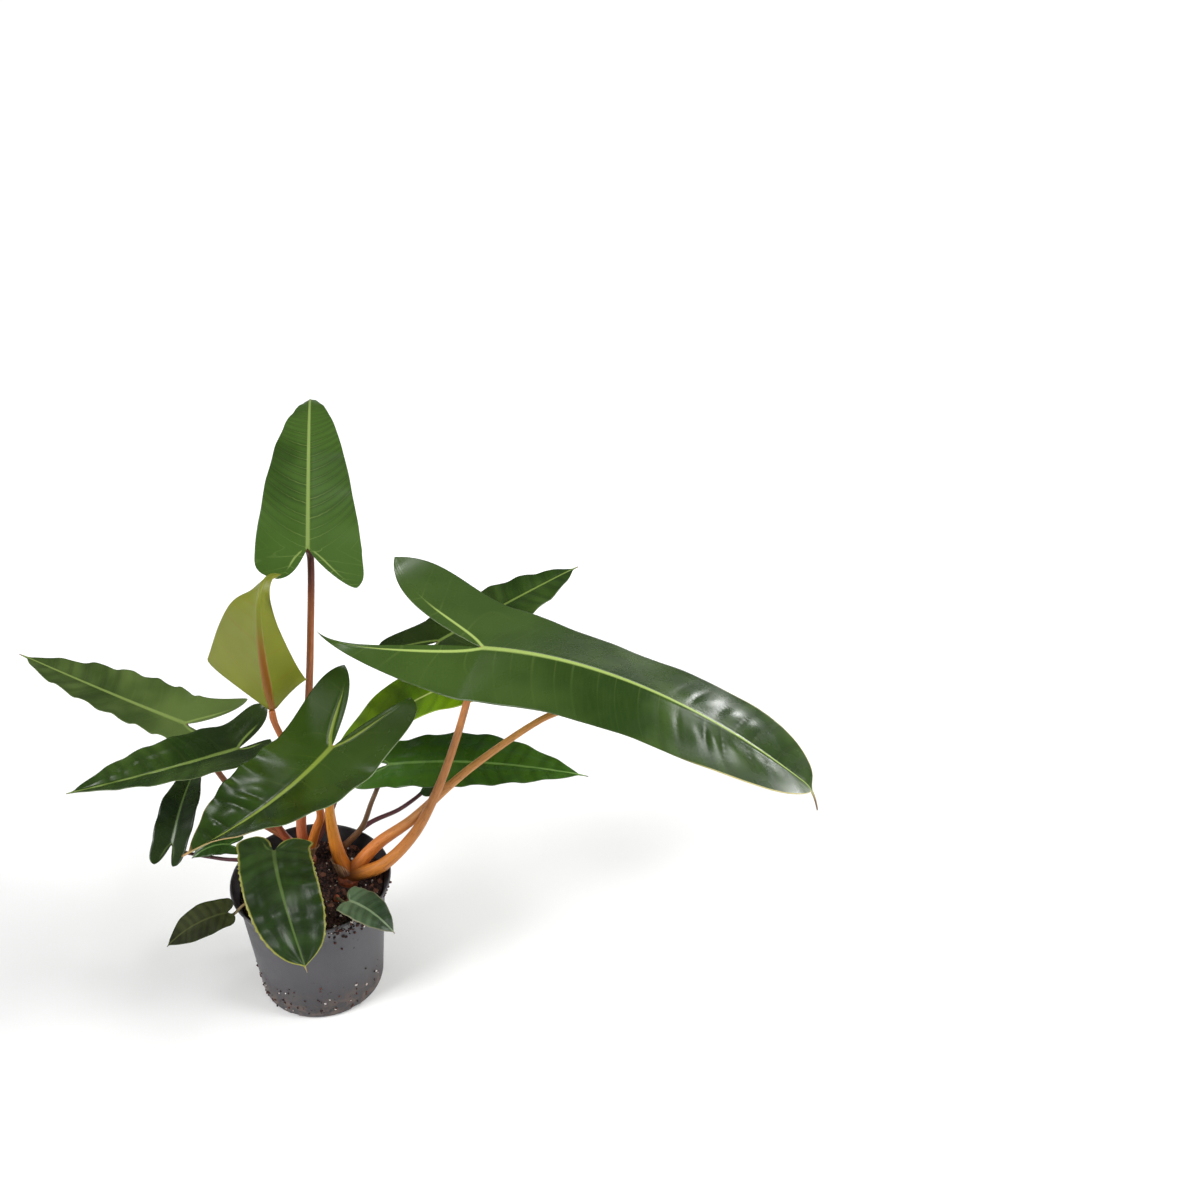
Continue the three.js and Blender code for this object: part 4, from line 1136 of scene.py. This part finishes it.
def add_stage():
    """A wide round floor."""
    mesh = bpy.data.meshes.new("floor")
    turn = np.linspace(0, 2 * np.pi, FLOOR_SIDES, endpoint=False)
    edge = np.stack([np.cos(turn), np.sin(turn), 0 * turn], axis=1) * FLOOR_RADIUS
    mesh.from_pydata(edge.tolist(), [], [list(range(FLOOR_SIDES))])
    mesh.materials.append(floor_material())
    add_object("floor", mesh)


def add_light(name, place, aim, size, power, spread):
    """An oblong light at its place, turned to its aim, whose beam is spread degrees wide."""
    data = bpy.data.lights.new(name, "AREA")
    data.spread = math.radians(spread)
    data.shape = "RECTANGLE"
    data.size, data.size_y = size
    data.energy = power
    lamp = add_object(name, data)
    lamp.location = place
    lamp.rotation_euler = (Vector(aim) - Vector(place)).to_track_quat("-Z", "Y").to_euler()


def add_sun(name, turn, height, breadth, strength):
    """A broad, even light from far away on one side."""
    data = bpy.data.lights.new(name, "SUN")
    data.angle = math.radians(breadth)
    data.energy = strength
    turn, height = math.radians(turn), math.radians(height)
    flat = math.cos(height)
    source = Vector((math.sin(turn) * flat, math.cos(turn) * flat, math.sin(height)))
    add_object(name, data).rotation_euler = (-source).to_track_quat("-Z", "Y").to_euler()


def add_camera_and_light():
    scene = bpy.context.scene
    data = bpy.data.cameras.new("camera")
    data.lens = CAMERA_LENS
    data.sensor_width = 36
    camera = add_object("camera", data)
    camera.location = CAMERA_PLACE
    camera.rotation_euler = (math.radians(CAMERA_TILT), 0, 0)
    scene.camera = camera
    scene.view_settings.view_transform = "Standard"
    world = bpy.data.worlds.new("studio")
    world.use_nodes = True
    sky = world.node_tree.nodes["Background"].inputs
    sky["Color"].default_value = (1, 1, 1, 1)
    sky["Strength"].default_value = SKY_STRENGTH
    scene.world = world
    for name, sun in SUNS.items():
        add_sun(name, *sun)
    for name, lamp in LAMPS.items():
        add_light(name, *lamp)


add_camera_and_light()
add_stage()
for leaf in LEAVES:
    finish_piece(blade_mesh(leaf), leaf_material(leaf), leaf["name"])
    finish_piece(stalk_mesh(leaf), stalk_material(leaf))
finish_piece(sheath_mesh(), sheath_material())
stem_look = stem_material()
for shoot in SHOOTS:
    finish_piece(stem_mesh(shoot), stem_look, shoot)
pot_piece()
soil_piece()
add_soil_cover()
